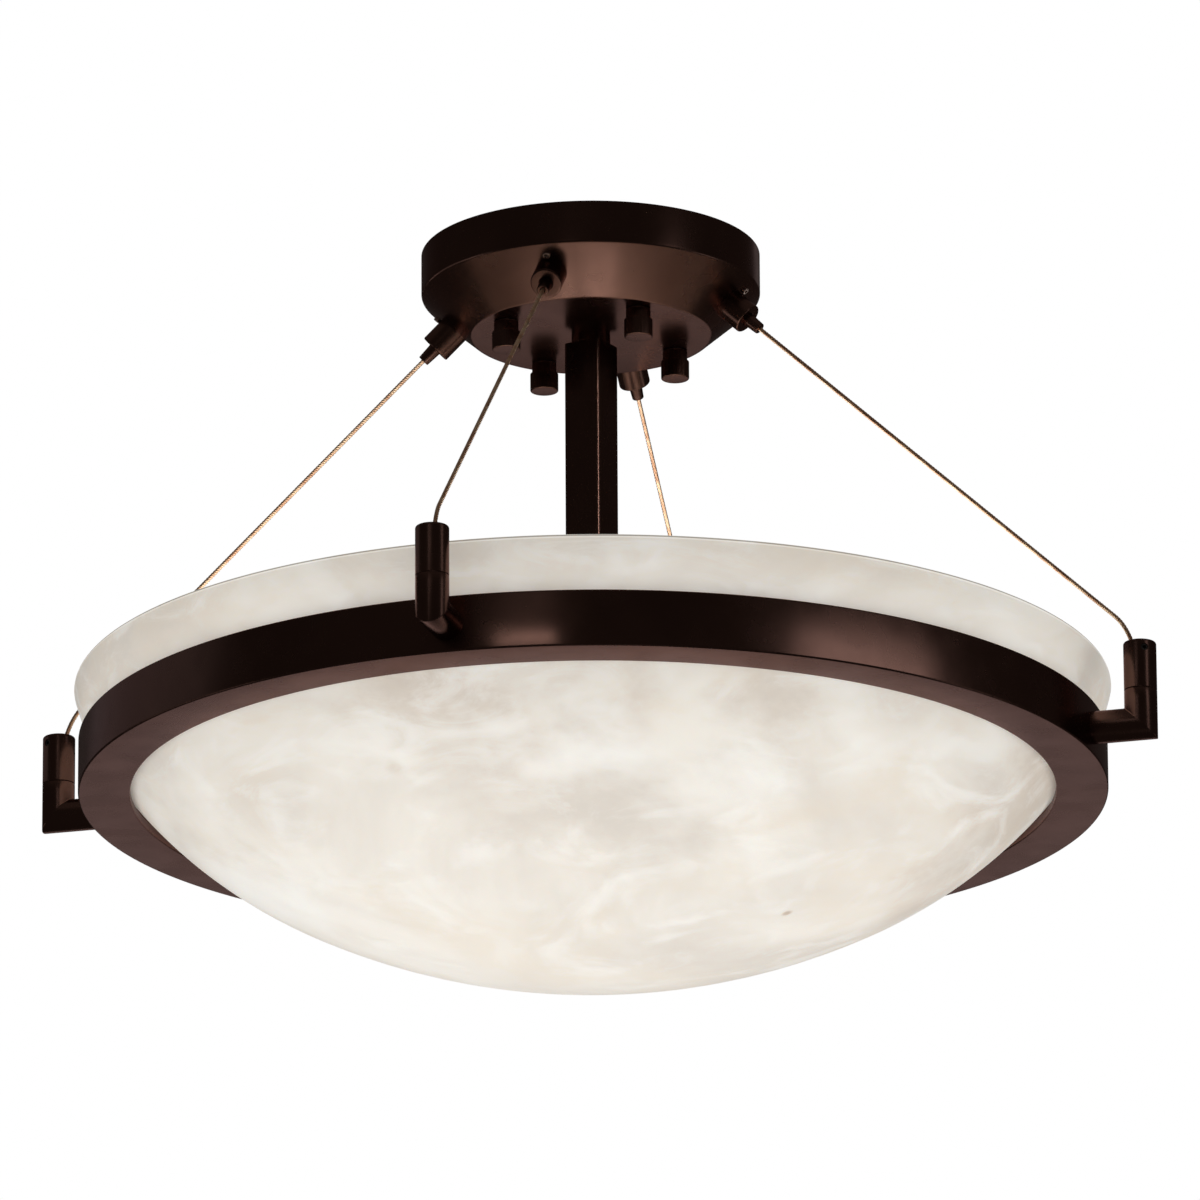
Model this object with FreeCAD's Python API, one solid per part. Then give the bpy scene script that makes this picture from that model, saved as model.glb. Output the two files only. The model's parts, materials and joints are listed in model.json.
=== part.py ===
import FreeCAD, Part
import math
import os

# Semi flush ceiling light: a round canopy, four wire cables that fan out to a ring with a
# corner elbow on each, and a bowl that rests in the ring. A square post runs from the canopy
# down to a cluster of three lamps inside the bowl.
# Millimetres. +Z is up, and the origin is on the canopy's axis in the ceiling plane.
# Radial pieces are drawn in the plane y = 0, outwards along +X, and then turned about Z.

# Room round every screw thread and in every hole that a rod or a screw passes
thread_fit = 0.1

# Canopy: a spun cup, open at the ceiling
canopy_radius = 76.2
canopy_side_height = 19.05
canopy_height = 38.1
canopy_flat_radius = 54.0
canopy_wall = 1.5
canopy_edge_radius = 2.0

# Mounting plate against the ceiling box
plate_radius = 54.0
plate_thickness = 2.0
plate_wire_hole_radius = 14.0
box_screw_spacing = 79.4
box_slot_length = 14.3
box_slot_width = 4.8
ground_screw_circle_radius = 34.0
ground_screw_radius = 2.0
ground_screw_head_radius = 4.2
ground_screw_head_height = 2.6
ground_screw_slot_width = 0.9
ground_screw_slot_depth = 1.2
screw_head_rounding = 1.2
screw_end_inset = 0.2

# Studs of the plate, and the thumb nuts that hold the canopy on them
nut_circle_radius = 43.4
stud_radius = 2.05
stud_flange_radius = 4.0
stud_flange_height = 1.2
stud_end_in_nut = 9.5
nut_gap = 0.3
nut_bore_clearance = 0.07
nut_bore_end_room = 1.5
nut_length = 13.4
nut_neck_radius = 5.5
nut_neck_length = 4.9
nut_head_radius = 6.35
nut_edge_radius = 0.7
nut_shoulder_rounding = 0.3
hex_chamfer_share = 0.6

# Ring: an upright band with a flat flange inwards along its foot
ring_radius = 228.6
ring_wall = 2.5
ring_height = 25.0
ring_drop = 254.0
ring_flange_width = 23.2
ring_flange_thickness = 4.0
ring_edge_radius = 0.8

# Bowl, a chain of tangent arcs and a straight lip; angles are measured from the bottom
bowl_rim_overhang = 2.3
bowl_wall = 4.0
bowl_base_angle = 27.5
bowl_side_radius = 208.0
bowl_side_angle = 55.5
bowl_shoulder_radius = 77.0
bowl_lip_angle = 75.5
bowl_lip_length = 2.0
bowl_rim_radius = 1.4
bowl_seat_gap = 0.45

# Corner elbows and the caps that stand on them
elbow_radius = 7.3
elbow_standoff = 21.4
elbow_arm_height = 12.3
elbow_upright = 15.0
cap_height = 22.3
cap_edge_radius = 1.3
cap_spigot_radius = 5.0
cap_spigot_length = 6.0
cap_spigot_clearance = 0.05
cap_mouth_radius = 3.5
cap_mouth_depth = 11.0
cap_bore_clearance = 0.4
stop_radius = 2.7
stop_length = 7.5
stop_depth = 5.0
stop_clearance = 0.25
stop_edge_radius = 0.6
set_screw_radius = 1.5
set_screw_depth_below_top = 4.0
set_screw_sink = 0.5
set_screw_tip = 2.4
set_screw_socket_across = 1.6
set_screw_socket_depth = 1.4
set_screw_turns = (150.0, -60.0, -120.0, 60.0)
elbow_screw_radius = 2.0
elbow_screw_reach = 8.0
elbow_screw_head_radius = 3.6
elbow_screw_head_height = 2.4

# Cables and the grippers on the canopy's shoulder
cable_radius = 1.0
cable_corner_rise = 2.9
cable_end_run = 30.0
cable_tail = 18.0
gripper_drop = 10.0
gripper_radius = 7.05
gripper_length = 11.8
gripper_edge_radius = 0.7
gripper_shank_radius = 4.75
gripper_shank_length = 12.0
gripper_hole_clearance = 0.25
gripper_nut_across = 14.0
gripper_nut_length = 6.5
plunger_radius = 3.05
plunger_tip_radius = 2.6
plunger_reach = 7.5
plunger_depth = 8.0
plunger_travel = 1.5
plunger_fit = 0.08
plunger_end_room = 0.5
plunger_edge_radius = 0.25
cable_bore_clearance = 0.3

# Stem and post
stem_radius = 4.8
stem_bore_radius = 3.4
stem_top_nut_across = 16.0
stem_nut_height = 5.5
stem_washer_radius = 10.0
stem_washer_thickness = 1.5
stem_above_nut = 5.0
stem_window_radius = 2.4
neck_radius = 8.7
neck_height = 4.3
neck_spigot_length = 3.0
neck_edge_radius = 0.4
post_side = 18.0
post_wall = 1.5
post_corner_radius = 1.6
post_inner_corner_radius = 0.4
post_twist = -14.2

# Lamp cluster at the post's foot
lamp_count = 3
lamp_axis_drop = 236.0
drum_radius = 26.0
drum_wall = 1.2
drum_above_lamps = 16.0
drum_below_lamps = 18.0
drum_edge_radius = 3.0
cover_clearance = 0.2
cover_lip_height = 5.0
cap_nut_radius = 8.0
cap_nut_height = 9.0
cap_nut_thread = 6.0
cap_nut_rounding = 4.8
nipple_depth = 8.0
nipple_reach = 8.0
nipple_nut_across = 14.0
nipple_nut_length = 4.0

# Lamp holders and lamps
socket_neck_radius = 7.0
socket_neck_length = 3.0
socket_radius = 15.6
socket_length = 42.0
socket_collar_radius = 17.0
socket_collar_length = 12.0
socket_edge_radius = 1.5
socket_wall = 1.5
socket_floor = 15.0
liner_wall = 0.6
liner_length = 25.0
contact_radius = 3.5
contact_height = 1.2
contact_edge_radius = 0.5
lamp_base_clearance = 0.3
lamp_tip_radius = 4.5
lamp_tip_gap = 0.6
lamp_tip_height = 1.5
lamp_tip_flare = 1.0
lamp_base_taper = 4.0
lamp_base_rounding = 1.0
lamp_base_in_glass = 1.0
lamp_globe_radius = 30.0
lamp_glass_length = 83.0
lamp_glass_wall = 1.0
lamp_neck_overlap = 0.5

# Places that follow from the sizes above
corner_names = ("front", "right", "back", "left")
up = FreeCAD.Vector(0, 0, 1)
origin = FreeCAD.Vector(0, 0, 0)
ring_bottom_z = -ring_drop
ring_top_z = ring_bottom_z + ring_height
ring_inner_radius = ring_radius - ring_flange_width
ring_flange_top_z = ring_bottom_z + ring_flange_thickness
elbow_circle_radius = ring_radius + elbow_standoff
elbow_arm_z = ring_bottom_z + elbow_arm_height
cap_joint_z = elbow_arm_z + elbow_upright
cap_top_z = cap_joint_z + cap_height
canopy_bottom_z = -canopy_height
canopy_floor_z = canopy_bottom_z + canopy_wall
post_top_z = canopy_bottom_z - neck_height
lamp_axis_z = -lamp_axis_drop
drum_top_z = lamp_axis_z + drum_above_lamps
drum_bottom_z = lamp_axis_z - drum_below_lamps
cover_bottom_z = drum_bottom_z - drum_wall
socket_back = drum_radius + socket_neck_length
socket_front = socket_back + socket_length
socket_bore_radius = socket_collar_radius - socket_wall - liner_wall
liner_radius = socket_bore_radius - thread_fit
lamp_base_radius = liner_radius - liner_wall - lamp_base_clearance
lamp_base_start = socket_back + socket_floor + contact_height + lamp_tip_gap
lamp_end = socket_front + lamp_glass_length


def radial(r, z):
    """A point in the plane y = 0."""
    return FreeCAD.Vector(r, 0, z)


def gripper_seat():
    """Where the cable's line meets the canopy's sloped shoulder."""
    slope = (canopy_radius - canopy_flat_radius) / (canopy_height - canopy_side_height)
    return radial(canopy_radius - gripper_drop * slope, -canopy_side_height - gripper_drop)


def cable_corner():
    """Where the cable's straight line would meet the line of its vertical end."""
    return radial(elbow_circle_radius, cap_top_z + cable_corner_rise)


def cable_direction():
    """The way a cable runs, outwards and down."""
    return (cable_corner() - gripper_seat()).normalize()


def rounded_edges(corners):
    """Edges of a closed outline; each corner is (r, z) or (r, z, rounding radius)."""
    points = [radial(c[0], c[1]) for c in corners]
    radii = [c[2] if len(c) > 2 else 0.0 for c in corners]
    count = len(points)
    edges = []
    ends = []
    for i in range(count):
        to_last = (points[i - 1] - points[i]).normalize()
        to_next = (points[(i + 1) % count] - points[i]).normalize()
        half_angle = to_last.getAngle(to_next) / 2
        if radii[i] == 0:
            ends.append((points[i], points[i]))
            continue
        reach = radii[i] / math.tan(half_angle)
        start = points[i] + to_last * reach
        end = points[i] + to_next * reach
        middle_reach = radii[i] / math.sin(half_angle) - radii[i]
        middle = points[i] + (to_last + to_next).normalize() * middle_reach
        ends.append((start, end))
        edges.append(Part.Arc(start, middle, end).toShape())
    for i in range(count):
        start = ends[i][1]
        end = ends[(i + 1) % count][0]
        if start.distanceToPoint(end) > 1e-6:
            edges.append(Part.LineSegment(start, end).toShape())
    return edges


def turned(corners):
    """A solid of revolution about Z from a closed outline."""
    edges = Part.__sortEdges__(rounded_edges(corners))
    return Part.Face(Part.Wire(edges)).revolve(origin, up, 360)


def offset_line(corners, wall):
    """The open outline moved by the wall to its right hand, with its roundings reduced."""
    points = [radial(c[0], c[1]) for c in corners]
    radii = [c[2] if len(c) > 2 else 0.0 for c in corners]
    normals = []
    for a, b in zip(points, points[1:]):
        along = (b - a).normalize()
        normals.append(FreeCAD.Vector(along.z, 0, -along.x))
    moved = [points[0] + normals[0] * wall]
    for i in range(1, len(points) - 1):
        both = normals[i - 1] + normals[i]
        moved.append(points[i] + both * (wall / (1 + normals[i - 1].dot(normals[i]))))
    moved.append(points[-1] + normals[-1] * wall)
    return [(p.x, p.z, max(radius - wall, 0.0)) for p, radius in zip(moved, radii)]


def spun_shell(corners, wall):
    """A thin turned wall; the corners run along its outer side, with the wall to the right."""
    return turned(list(corners) + offset_line(corners, wall)[::-1])


def placed(shape, point, direction):
    """The shape, drawn along +Z, moved to a point and turned to a direction."""
    copy = shape.copy()
    copy.Placement = FreeCAD.Placement(point, FreeCAD.Rotation(up, direction)).multiply(shape.Placement)
    return copy


def turned_about_z(shape, angle):
    """A copy turned about the canopy's axis."""
    copy = shape.copy()
    copy.rotate(origin, up, angle)
    return copy


def cylinder_from_to(start, end, radius):
    """A plain round bar between two points."""
    return Part.makeCylinder(radius, start.distanceToPoint(end), start, end - start)


def tube(radius, bore_radius, bottom_z, top_z):
    """A plain tube about Z."""
    corners = ((bore_radius, bottom_z), (radius, bottom_z), (radius, top_z), (bore_radius, top_z))
    return turned(corners)


def hex_corner_radius(across_flats):
    """Distance from a hexagon's middle to its corners."""
    return across_flats / 2 / math.cos(math.radians(30))


def hex_prism(across_flats, height):
    """A hexagon bar standing on z = 0."""
    points = []
    for i in range(7):
        angle = math.radians(60 * i)
        points.append(FreeCAD.Vector(math.cos(angle), math.sin(angle), 0) * hex_corner_radius(across_flats))
    return Part.Face(Part.makePolygon(points)).extrude(up * height)


def hex_nut(across_flats, height, hole_radius):
    """A hexagon nut standing on z = 0, with its hole through."""
    corner_radius = hex_corner_radius(across_flats)
    chamfer = (corner_radius - across_flats / 2) * hex_chamfer_share
    dome = turned((
        (0, 0),
        (corner_radius, 0),
        (corner_radius, height - chamfer),
        (corner_radius - 2 * chamfer, height),
        (0, height),
    ))
    return hex_prism(across_flats, height).common(dome).cut(Part.makeCylinder(hole_radius, height))


def canopy_outline():
    """The canopy's outer side, from the ceiling down to its axis."""
    return (
        (canopy_radius, 0),
        (canopy_radius, -canopy_side_height, canopy_edge_radius),
        (canopy_flat_radius, canopy_bottom_z, canopy_edge_radius),
        (0, canopy_bottom_z),
    )


def canopy_filled():
    """Everything inside the canopy's outer surface."""
    return turned(canopy_outline() + ((0, 0),))


def canopy_hollow():
    """Everything inside the canopy's inner surface."""
    return turned(offset_line(canopy_outline(), canopy_wall) + [(0, 0)])


def make_canopy():
    """Spun cup with holes for the stem, the studs and the grippers."""
    shell = spun_shell(canopy_outline(), canopy_wall)
    holes = [Part.makeCylinder(stem_radius + thread_fit, canopy_height, origin, -up)]
    stud_hole = Part.makeCylinder(
        stud_radius + gripper_hole_clearance, canopy_height, radial(nut_circle_radius, 0), -up
    )
    seat = gripper_seat()
    along = cable_direction()
    gripper_hole = cylinder_from_to(
        seat - along * gripper_shank_length,
        seat + along * gripper_shank_length,
        gripper_shank_radius + gripper_hole_clearance,
    )
    for i in range(4):
        holes.append(turned_about_z(stud_hole, 45 + 90 * i))
        holes.append(turned_about_z(gripper_hole, 90 * i))
    return shell.cut(holes)


def make_mounting_plate():
    """Round plate with a wire hole, a pair of slots for the box screws and stud holes."""
    plate = tube(plate_radius, plate_wire_hole_radius, -plate_thickness, 0)
    cuts = []
    half_slot = (box_slot_length - box_slot_width) / 2
    for side in (-1, 1):
        middle = side * box_screw_spacing / 2
        for x in (middle - half_slot, middle + half_slot):
            cuts.append(Part.makeCylinder(box_slot_width / 2, plate_thickness, radial(x, 0), -up))
        corner = FreeCAD.Vector(middle - half_slot, -box_slot_width / 2, -plate_thickness)
        cuts.append(Part.makeBox(2 * half_slot, box_slot_width, plate_thickness, corner))
    stud_hole = Part.makeCylinder(
        stud_radius + thread_fit, plate_thickness, radial(nut_circle_radius, 0), -up
    )
    for i in range(4):
        cuts.append(turned_about_z(stud_hole, 45 + 90 * i))
    screw_hole = Part.makeCylinder(
        ground_screw_radius + thread_fit, plate_thickness, radial(ground_screw_circle_radius, 0), -up
    )
    cuts.append(turned_about_z(screw_hole, 90))
    return plate.cut(cuts)


def make_plate_studs():
    """Four studs with a pressed flange under the plate."""
    flange_z = -plate_thickness - stud_flange_height
    end_z = canopy_bottom_z - stud_end_in_nut
    stud = turned((
        (0, 0),
        (stud_radius, 0),
        (stud_radius, -plate_thickness),
        (stud_flange_radius, -plate_thickness),
        (stud_flange_radius, flange_z),
        (stud_radius, flange_z),
        (stud_radius, end_z),
        (0, end_z),
    ))
    stud.translate(radial(nut_circle_radius, 0))
    return Part.makeCompound([turned_about_z(stud, 45 + 90 * i) for i in range(4)])


def make_ground_screw():
    """Slotted pan head screw under the plate for the earth wire."""
    head_z = -plate_thickness - ground_screw_head_height
    screw = turned((
        (0, -screw_end_inset),
        (ground_screw_radius, -screw_end_inset),
        (ground_screw_radius, -plate_thickness),
        (ground_screw_head_radius, -plate_thickness),
        (ground_screw_head_radius, head_z, screw_head_rounding),
        (0, head_z),
    ))
    slot_corner = FreeCAD.Vector(-ground_screw_head_radius, -ground_screw_slot_width / 2, head_z)
    slot = Part.makeBox(
        2 * ground_screw_head_radius, ground_screw_slot_width, ground_screw_slot_depth, slot_corner
    )
    screw = screw.cut(slot)
    screw.translate(radial(ground_screw_circle_radius, 0))
    return turned_about_z(screw, 90)


def make_thumb_nut(index):
    """Turned nut with a neck and a wider closed head."""
    bore_z = -stud_end_in_nut - nut_bore_end_room
    bore_radius = stud_radius + nut_bore_clearance
    nut = turned((
        (bore_radius, -nut_gap),
        (nut_neck_radius, -nut_gap),
        (nut_neck_radius, -nut_neck_length),
        (nut_head_radius, -nut_neck_length, nut_shoulder_rounding),
        (nut_head_radius, -nut_length, nut_edge_radius),
        (0, -nut_length),
        (0, bore_z),
        (bore_radius, bore_z),
    ))
    nut.translate(radial(nut_circle_radius, canopy_bottom_z))
    return turned_about_z(nut, 45 + 90 * index)


def make_gripper_body():
    """Turned body whose inner end is shaped to the canopy's shoulder, with a shank inside."""
    body = turned((
        (0, -gripper_length),
        (gripper_radius, -gripper_length),
        (gripper_radius, gripper_length, gripper_edge_radius),
        (0, gripper_length),
    ))
    shank = Part.makeCylinder(
        gripper_shank_radius, gripper_shank_length + gripper_length / 2, -up * gripper_shank_length
    )
    seat = gripper_seat()
    along = cable_direction()
    outside = placed(body, seat, along).cut(canopy_filled())
    whole = outside.fuse(placed(shank, seat, along)).removeSplitter()
    cable_bore = Part.makeCylinder(
        cable_radius + cable_bore_clearance, 2 * gripper_shank_length + gripper_length,
        -up * (gripper_shank_length + 1)
    )
    bore_depth = plunger_depth + plunger_travel + plunger_end_room
    plunger_bore = Part.makeCylinder(
        plunger_radius + plunger_fit, bore_depth + 1, up * (gripper_length - bore_depth)
    )
    return whole.cut(placed(cable_bore.fuse(plunger_bore), seat, along))


def make_gripper_plunger():
    """Tapered release plunger that the cable runs through."""
    bore = cable_radius + cable_bore_clearance
    plunger = turned((
        (bore, gripper_length - plunger_depth),
        (plunger_radius, gripper_length - plunger_depth),
        (plunger_radius, gripper_length),
        (plunger_tip_radius, gripper_length + plunger_reach, plunger_edge_radius),
        (bore, gripper_length + plunger_reach, plunger_edge_radius),
    ))
    return placed(plunger, gripper_seat(), cable_direction())


def make_gripper_nuts():
    """Hexagon nuts on the shanks, shaped to the canopy's inner side."""
    height = gripper_nut_length + gripper_edge_radius
    nut = hex_nut(gripper_nut_across, height, gripper_shank_radius + thread_fit)
    inwards = -cable_direction()
    start = gripper_seat() - inwards * gripper_edge_radius
    trimmed = placed(nut, start, inwards).common(canopy_hollow())
    return Part.makeCompound([turned_about_z(trimmed, 90 * i - 90) for i in range(4)])


def cable_route():
    """The cable's three route points: in the canopy, at the bend and inside the cap."""
    corner = cable_corner()
    start = gripper_seat() - cable_direction() * cable_tail
    return (start, corner, corner - up * cable_end_run)


def make_cable():
    """A straight run, one tangent arc and a short vertical end."""
    start, corner, end = cable_route()
    back = (start - corner).normalize()
    down = (end - corner).normalize()
    half_turn = (math.pi - back.getAngle(down)) / 2
    shorter = min(start.distanceToPoint(corner), end.distanceToPoint(corner))
    bend_radius = 0.45 * shorter / math.tan(half_turn)
    reach = bend_radius * math.tan(half_turn)
    middle_reach = bend_radius / math.cos(half_turn) - bend_radius
    first = corner + back * reach
    last = corner + down * reach
    middle = corner + (back + down).normalize() * middle_reach
    path = Part.Wire([
        Part.LineSegment(start, first).toShape(),
        Part.Arc(first, middle, last).toShape(),
        Part.LineSegment(last, end).toShape(),
    ])
    section = Part.Wire(Part.makeCircle(cable_radius, start, corner - start))
    cable = path.makePipeShell([section], True, False)
    expected = math.pi * cable_radius ** 2 * path.Length
    print("cable bend radius %.1f, length %.1f, volume %.1f of %.1f"
          % (bend_radius, path.Length, cable.Volume, expected))
    return cable


def make_cable_cap(turn):
    """Upper cylinder of a corner, with a flared mouth and a pocket for the cable's stop."""
    bore = cable_radius + cap_bore_clearance
    pocket = stop_radius + stop_clearance
    cap = turned((
        (pocket, -cap_spigot_length),
        (cap_spigot_radius, -cap_spigot_length),
        (cap_spigot_radius, 0),
        (elbow_radius, 0),
        (elbow_radius, cap_height, cap_edge_radius),
        (cap_mouth_radius, cap_height),
        (bore, cap_height - cap_mouth_depth),
        (bore, stop_depth),
        (pocket, stop_depth),
    ))
    hole = Part.makeCylinder(
        set_screw_radius + thread_fit, elbow_radius,
        radial(0, cap_height - set_screw_depth_below_top), radial(1, 0)
    )
    cap = cap.cut(turned_about_z(hole, turn))
    cap.translate(radial(elbow_circle_radius, cap_joint_z))
    return cap


def make_set_screw(turn):
    """Headless screw in the cap's side; its tip stops short of the cable in the mouth."""
    length = elbow_radius - set_screw_sink - set_screw_tip
    socket = hex_prism(set_screw_socket_across, set_screw_socket_depth)
    socket.translate(up * (length - set_screw_socket_depth))
    screw = Part.makeCylinder(set_screw_radius, length).cut(socket)
    screw = turned_about_z(placed(screw, radial(set_screw_tip, 0), radial(1, 0)), turn)
    screw.translate(radial(elbow_circle_radius, cap_top_z - set_screw_depth_below_top))
    return screw


def make_cable_stop():
    """Pressed ferrule on the cable's end, in the cap's pocket."""
    top_z = cap_joint_z + stop_depth - thread_fit
    corners = (
        (cable_radius, top_z - stop_length),
        (stop_radius, top_z - stop_length, stop_edge_radius),
        (stop_radius, top_z, stop_edge_radius),
        (cable_radius, top_z),
    )
    stop = turned(corners)
    stop.translate(radial(elbow_circle_radius, 0))
    return stop


def make_elbow():
    """Two round bars mitred at the corner; the arm's end is shaped to the ring."""
    corner = radial(elbow_circle_radius, elbow_arm_z)
    upright = Part.makeCylinder(elbow_radius, elbow_upright + elbow_radius, corner - up * elbow_radius)
    arm_start = radial(ring_radius - ring_wall, elbow_arm_z)
    arm = cylinder_from_to(arm_start, corner + radial(elbow_radius, 0), elbow_radius)
    size = 4 * (elbow_standoff + elbow_upright)
    outer_half = Part.makeBox(size, size, size, FreeCAD.Vector(-size / 2, -size / 2, 0))
    outer_half = placed(outer_half, corner, radial(1, 1))
    elbow = upright.common(outer_half).fuse(arm.cut(outer_half)).removeSplitter()
    ring_inside = Part.makeCylinder(ring_radius, ring_height, radial(0, ring_bottom_z))
    bore_depth = cap_spigot_length + stop_length
    bore = Part.makeCylinder(cap_spigot_radius + cap_spigot_clearance, bore_depth,
                             radial(elbow_circle_radius, cap_joint_z), -up)
    screw_hole = cylinder_from_to(
        arm_start, radial(ring_radius + elbow_screw_reach + 1, elbow_arm_z), elbow_screw_radius + thread_fit
    )
    return elbow.cut([ring_inside, bore, screw_hole])


def make_ring():
    """L-section ring with a screw hole behind each elbow."""
    wall_inner = ring_radius - ring_wall
    ring = turned((
        (ring_inner_radius, ring_bottom_z, ring_edge_radius),
        (ring_radius, ring_bottom_z, ring_edge_radius),
        (ring_radius, ring_top_z, ring_edge_radius),
        (wall_inner, ring_top_z, ring_edge_radius),
        (wall_inner, ring_flange_top_z, ring_edge_radius),
        (ring_inner_radius, ring_flange_top_z, ring_edge_radius),
    ))
    hole = cylinder_from_to(
        radial(wall_inner - ring_wall, elbow_arm_z),
        radial(ring_radius + ring_wall, elbow_arm_z),
        elbow_screw_radius + 2 * thread_fit,
    )
    return ring.cut([turned_about_z(hole, 90 * i) for i in range(4)])


def make_elbow_screws():
    """Pan head screws from inside the ring's wall into the elbows' arms."""
    screw = turned((
        (0, -elbow_screw_head_height),
        (elbow_screw_head_radius, -elbow_screw_head_height, screw_head_rounding),
        (elbow_screw_head_radius, 0),
        (elbow_screw_radius, 0),
        (elbow_screw_radius, ring_wall + elbow_screw_reach),
        (0, ring_wall + elbow_screw_reach),
    ))
    screw = placed(screw, radial(ring_radius - ring_wall - thread_fit, elbow_arm_z), radial(1, 0))
    return Part.makeCompound([turned_about_z(screw, 90 * i - 90) for i in range(4)])


def bowl_arcs():
    """Radius and end angle of each arc of the bowl's outer side, from the bottom outwards."""
    base = math.radians(bowl_base_angle)
    side = math.radians(bowl_side_angle)
    lip = math.radians(bowl_lip_angle)
    beyond_base = (
        bowl_side_radius * (math.sin(side) - math.sin(base))
        + bowl_shoulder_radius * (math.sin(lip) - math.sin(side))
        + bowl_lip_length * math.cos(lip)
    )
    base_radius = (ring_radius + bowl_rim_overhang - beyond_base) / math.sin(base)
    return ((base_radius, base), (bowl_side_radius, side), (bowl_shoulder_radius, lip))


def bowl_centres():
    """The arcs' centres, with the bowl's bottom at z = 0."""
    arcs = bowl_arcs()
    centre = radial(0, arcs[0][0])
    centres = [centre]
    for (radius, angle), (next_radius, _) in zip(arcs, arcs[1:]):
        centre = centre + radial(math.sin(angle), -math.cos(angle)) * (radius - next_radius)
        centres.append(centre)
    return centres


def bowl_bottom_z():
    """The height at which the bowl's side arc rests on the flange's inner edge."""
    centre = bowl_centres()[1]
    reach = ring_inner_radius - bowl_seat_gap - centre.x
    seat_height = centre.z - math.sqrt(bowl_side_radius ** 2 - reach ** 2)
    return ring_flange_top_z - seat_height


def bowl_edges(inset):
    """Arcs and lip of the bowl's outer side, moved inwards by inset, and the rim point."""
    edges = []
    start_angle = 0.0
    for centre, (radius, end_angle) in zip(bowl_centres(), bowl_arcs()):
        points = []
        for angle in (start_angle, (start_angle + end_angle) / 2, end_angle):
            points.append(centre + radial(math.sin(angle), -math.cos(angle)) * (radius - inset))
        edges.append(Part.Arc(*points).toShape())
        start_angle = end_angle
    rim = points[-1] + radial(math.cos(end_angle), math.sin(end_angle)) * bowl_lip_length
    edges.append(Part.LineSegment(points[-1], rim).toShape())
    return edges, rim


def make_bowl():
    """Thin bowl with a rounded rim, seated in the ring."""
    outer, outer_rim = bowl_edges(0)
    inner, inner_rim = bowl_edges(bowl_wall)
    ends = [
        Part.LineSegment(outer_rim, inner_rim).toShape(),
        Part.LineSegment(radial(0, bowl_wall), origin).toShape(),
    ]
    outline = Part.Wire(Part.__sortEdges__(outer + inner + ends))
    bowl = Part.Face(outline).revolve(origin, up, 360)
    rim_edges = []
    for edge in bowl.Edges:
        box = edge.BoundBox
        for rim in (outer_rim, inner_rim):
            if abs(box.ZMin - rim.z) < 0.01 and abs(box.XMax - rim.x) < 0.01:
                rim_edges.append(edge)
    bowl = bowl.makeFillet(bowl_rim_radius, rim_edges)
    bowl.translate(up * bowl_bottom_z())
    return bowl


def make_stem_rod():
    """Threaded tube from inside the canopy to the cap nut, with a window for the wires."""
    top_z = canopy_floor_z + stem_washer_thickness + stem_nut_height + stem_above_nut
    rod = tube(stem_radius, stem_bore_radius, cover_bottom_z - cap_nut_thread, top_z)
    window = cylinder_from_to(
        radial(-stem_radius, lamp_axis_z), radial(stem_radius, lamp_axis_z), stem_window_radius
    )
    return rod.cut(turned_about_z(window, 90))


def make_stem_top_washer():
    """Washer on the canopy's floor."""
    return tube(stem_washer_radius, stem_radius + thread_fit,
                canopy_floor_z, canopy_floor_z + stem_washer_thickness)


def make_stem_nut(bottom_z):
    """Hexagon nut on the stem."""
    nut = hex_nut(stem_top_nut_across, stem_nut_height, stem_radius + thread_fit)
    nut.translate(up * bottom_z)
    return nut


def make_stem_neck():
    """Round collar under the canopy, with a spigot that centres the square tube."""
    spigot_radius = post_side / 2 - post_wall - thread_fit
    spigot_z = post_top_z - neck_spigot_length
    return turned((
        (stem_radius + thread_fit, canopy_bottom_z),
        (neck_radius, canopy_bottom_z),
        (neck_radius, post_top_z, neck_edge_radius),
        (spigot_radius, post_top_z),
        (spigot_radius, spigot_z),
        (stem_radius + thread_fit, spigot_z),
    ))


def square_bar(side, corner_radius, bottom_z, top_z):
    """A square bar with rounded upright corners."""
    bar = Part.makeBox(side, side, top_z - bottom_z, FreeCAD.Vector(-side / 2, -side / 2, bottom_z))
    upright = [edge for edge in bar.Edges if abs(edge.tangentAt(edge.FirstParameter).z) > 0.9]
    return bar.makeFillet(corner_radius, upright)


def make_post_tube():
    """Square tube, turned a little against the cables as it hangs in the photograph."""
    post = square_bar(post_side, post_corner_radius, drum_top_z, post_top_z)
    inside = square_bar(post_side - 2 * post_wall, post_inner_corner_radius, drum_top_z, post_top_z)
    return turned_about_z(post.cut(inside), post_twist)


def make_cluster_drum():
    """Spun cup, open below, with a side hole for each lamp holder."""
    outline = (
        (drum_radius, drum_bottom_z),
        (drum_radius, drum_top_z, drum_edge_radius),
        (stem_radius + thread_fit, drum_top_z),
    )
    drum = turned(list(outline) + offset_line(outline, -drum_wall)[::-1])
    hole = cylinder_from_to(
        radial(drum_radius / 2, lamp_axis_z), radial(drum_radius + 1, lamp_axis_z), stem_radius + thread_fit
    )
    return drum.cut([turned_about_z(hole, lamp_turn(i)) for i in range(lamp_count)])


def make_cluster_cover():
    """Shallow lid over the drum's lower edge, rounded only on its outer side."""
    outer = drum_radius + cover_clearance + drum_wall
    outline = (
        (outer, drum_bottom_z + cover_lip_height),
        (outer, cover_bottom_z, drum_wall),
        (stem_radius + thread_fit, cover_bottom_z),
    )
    return spun_shell(outline, drum_wall)


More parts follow.
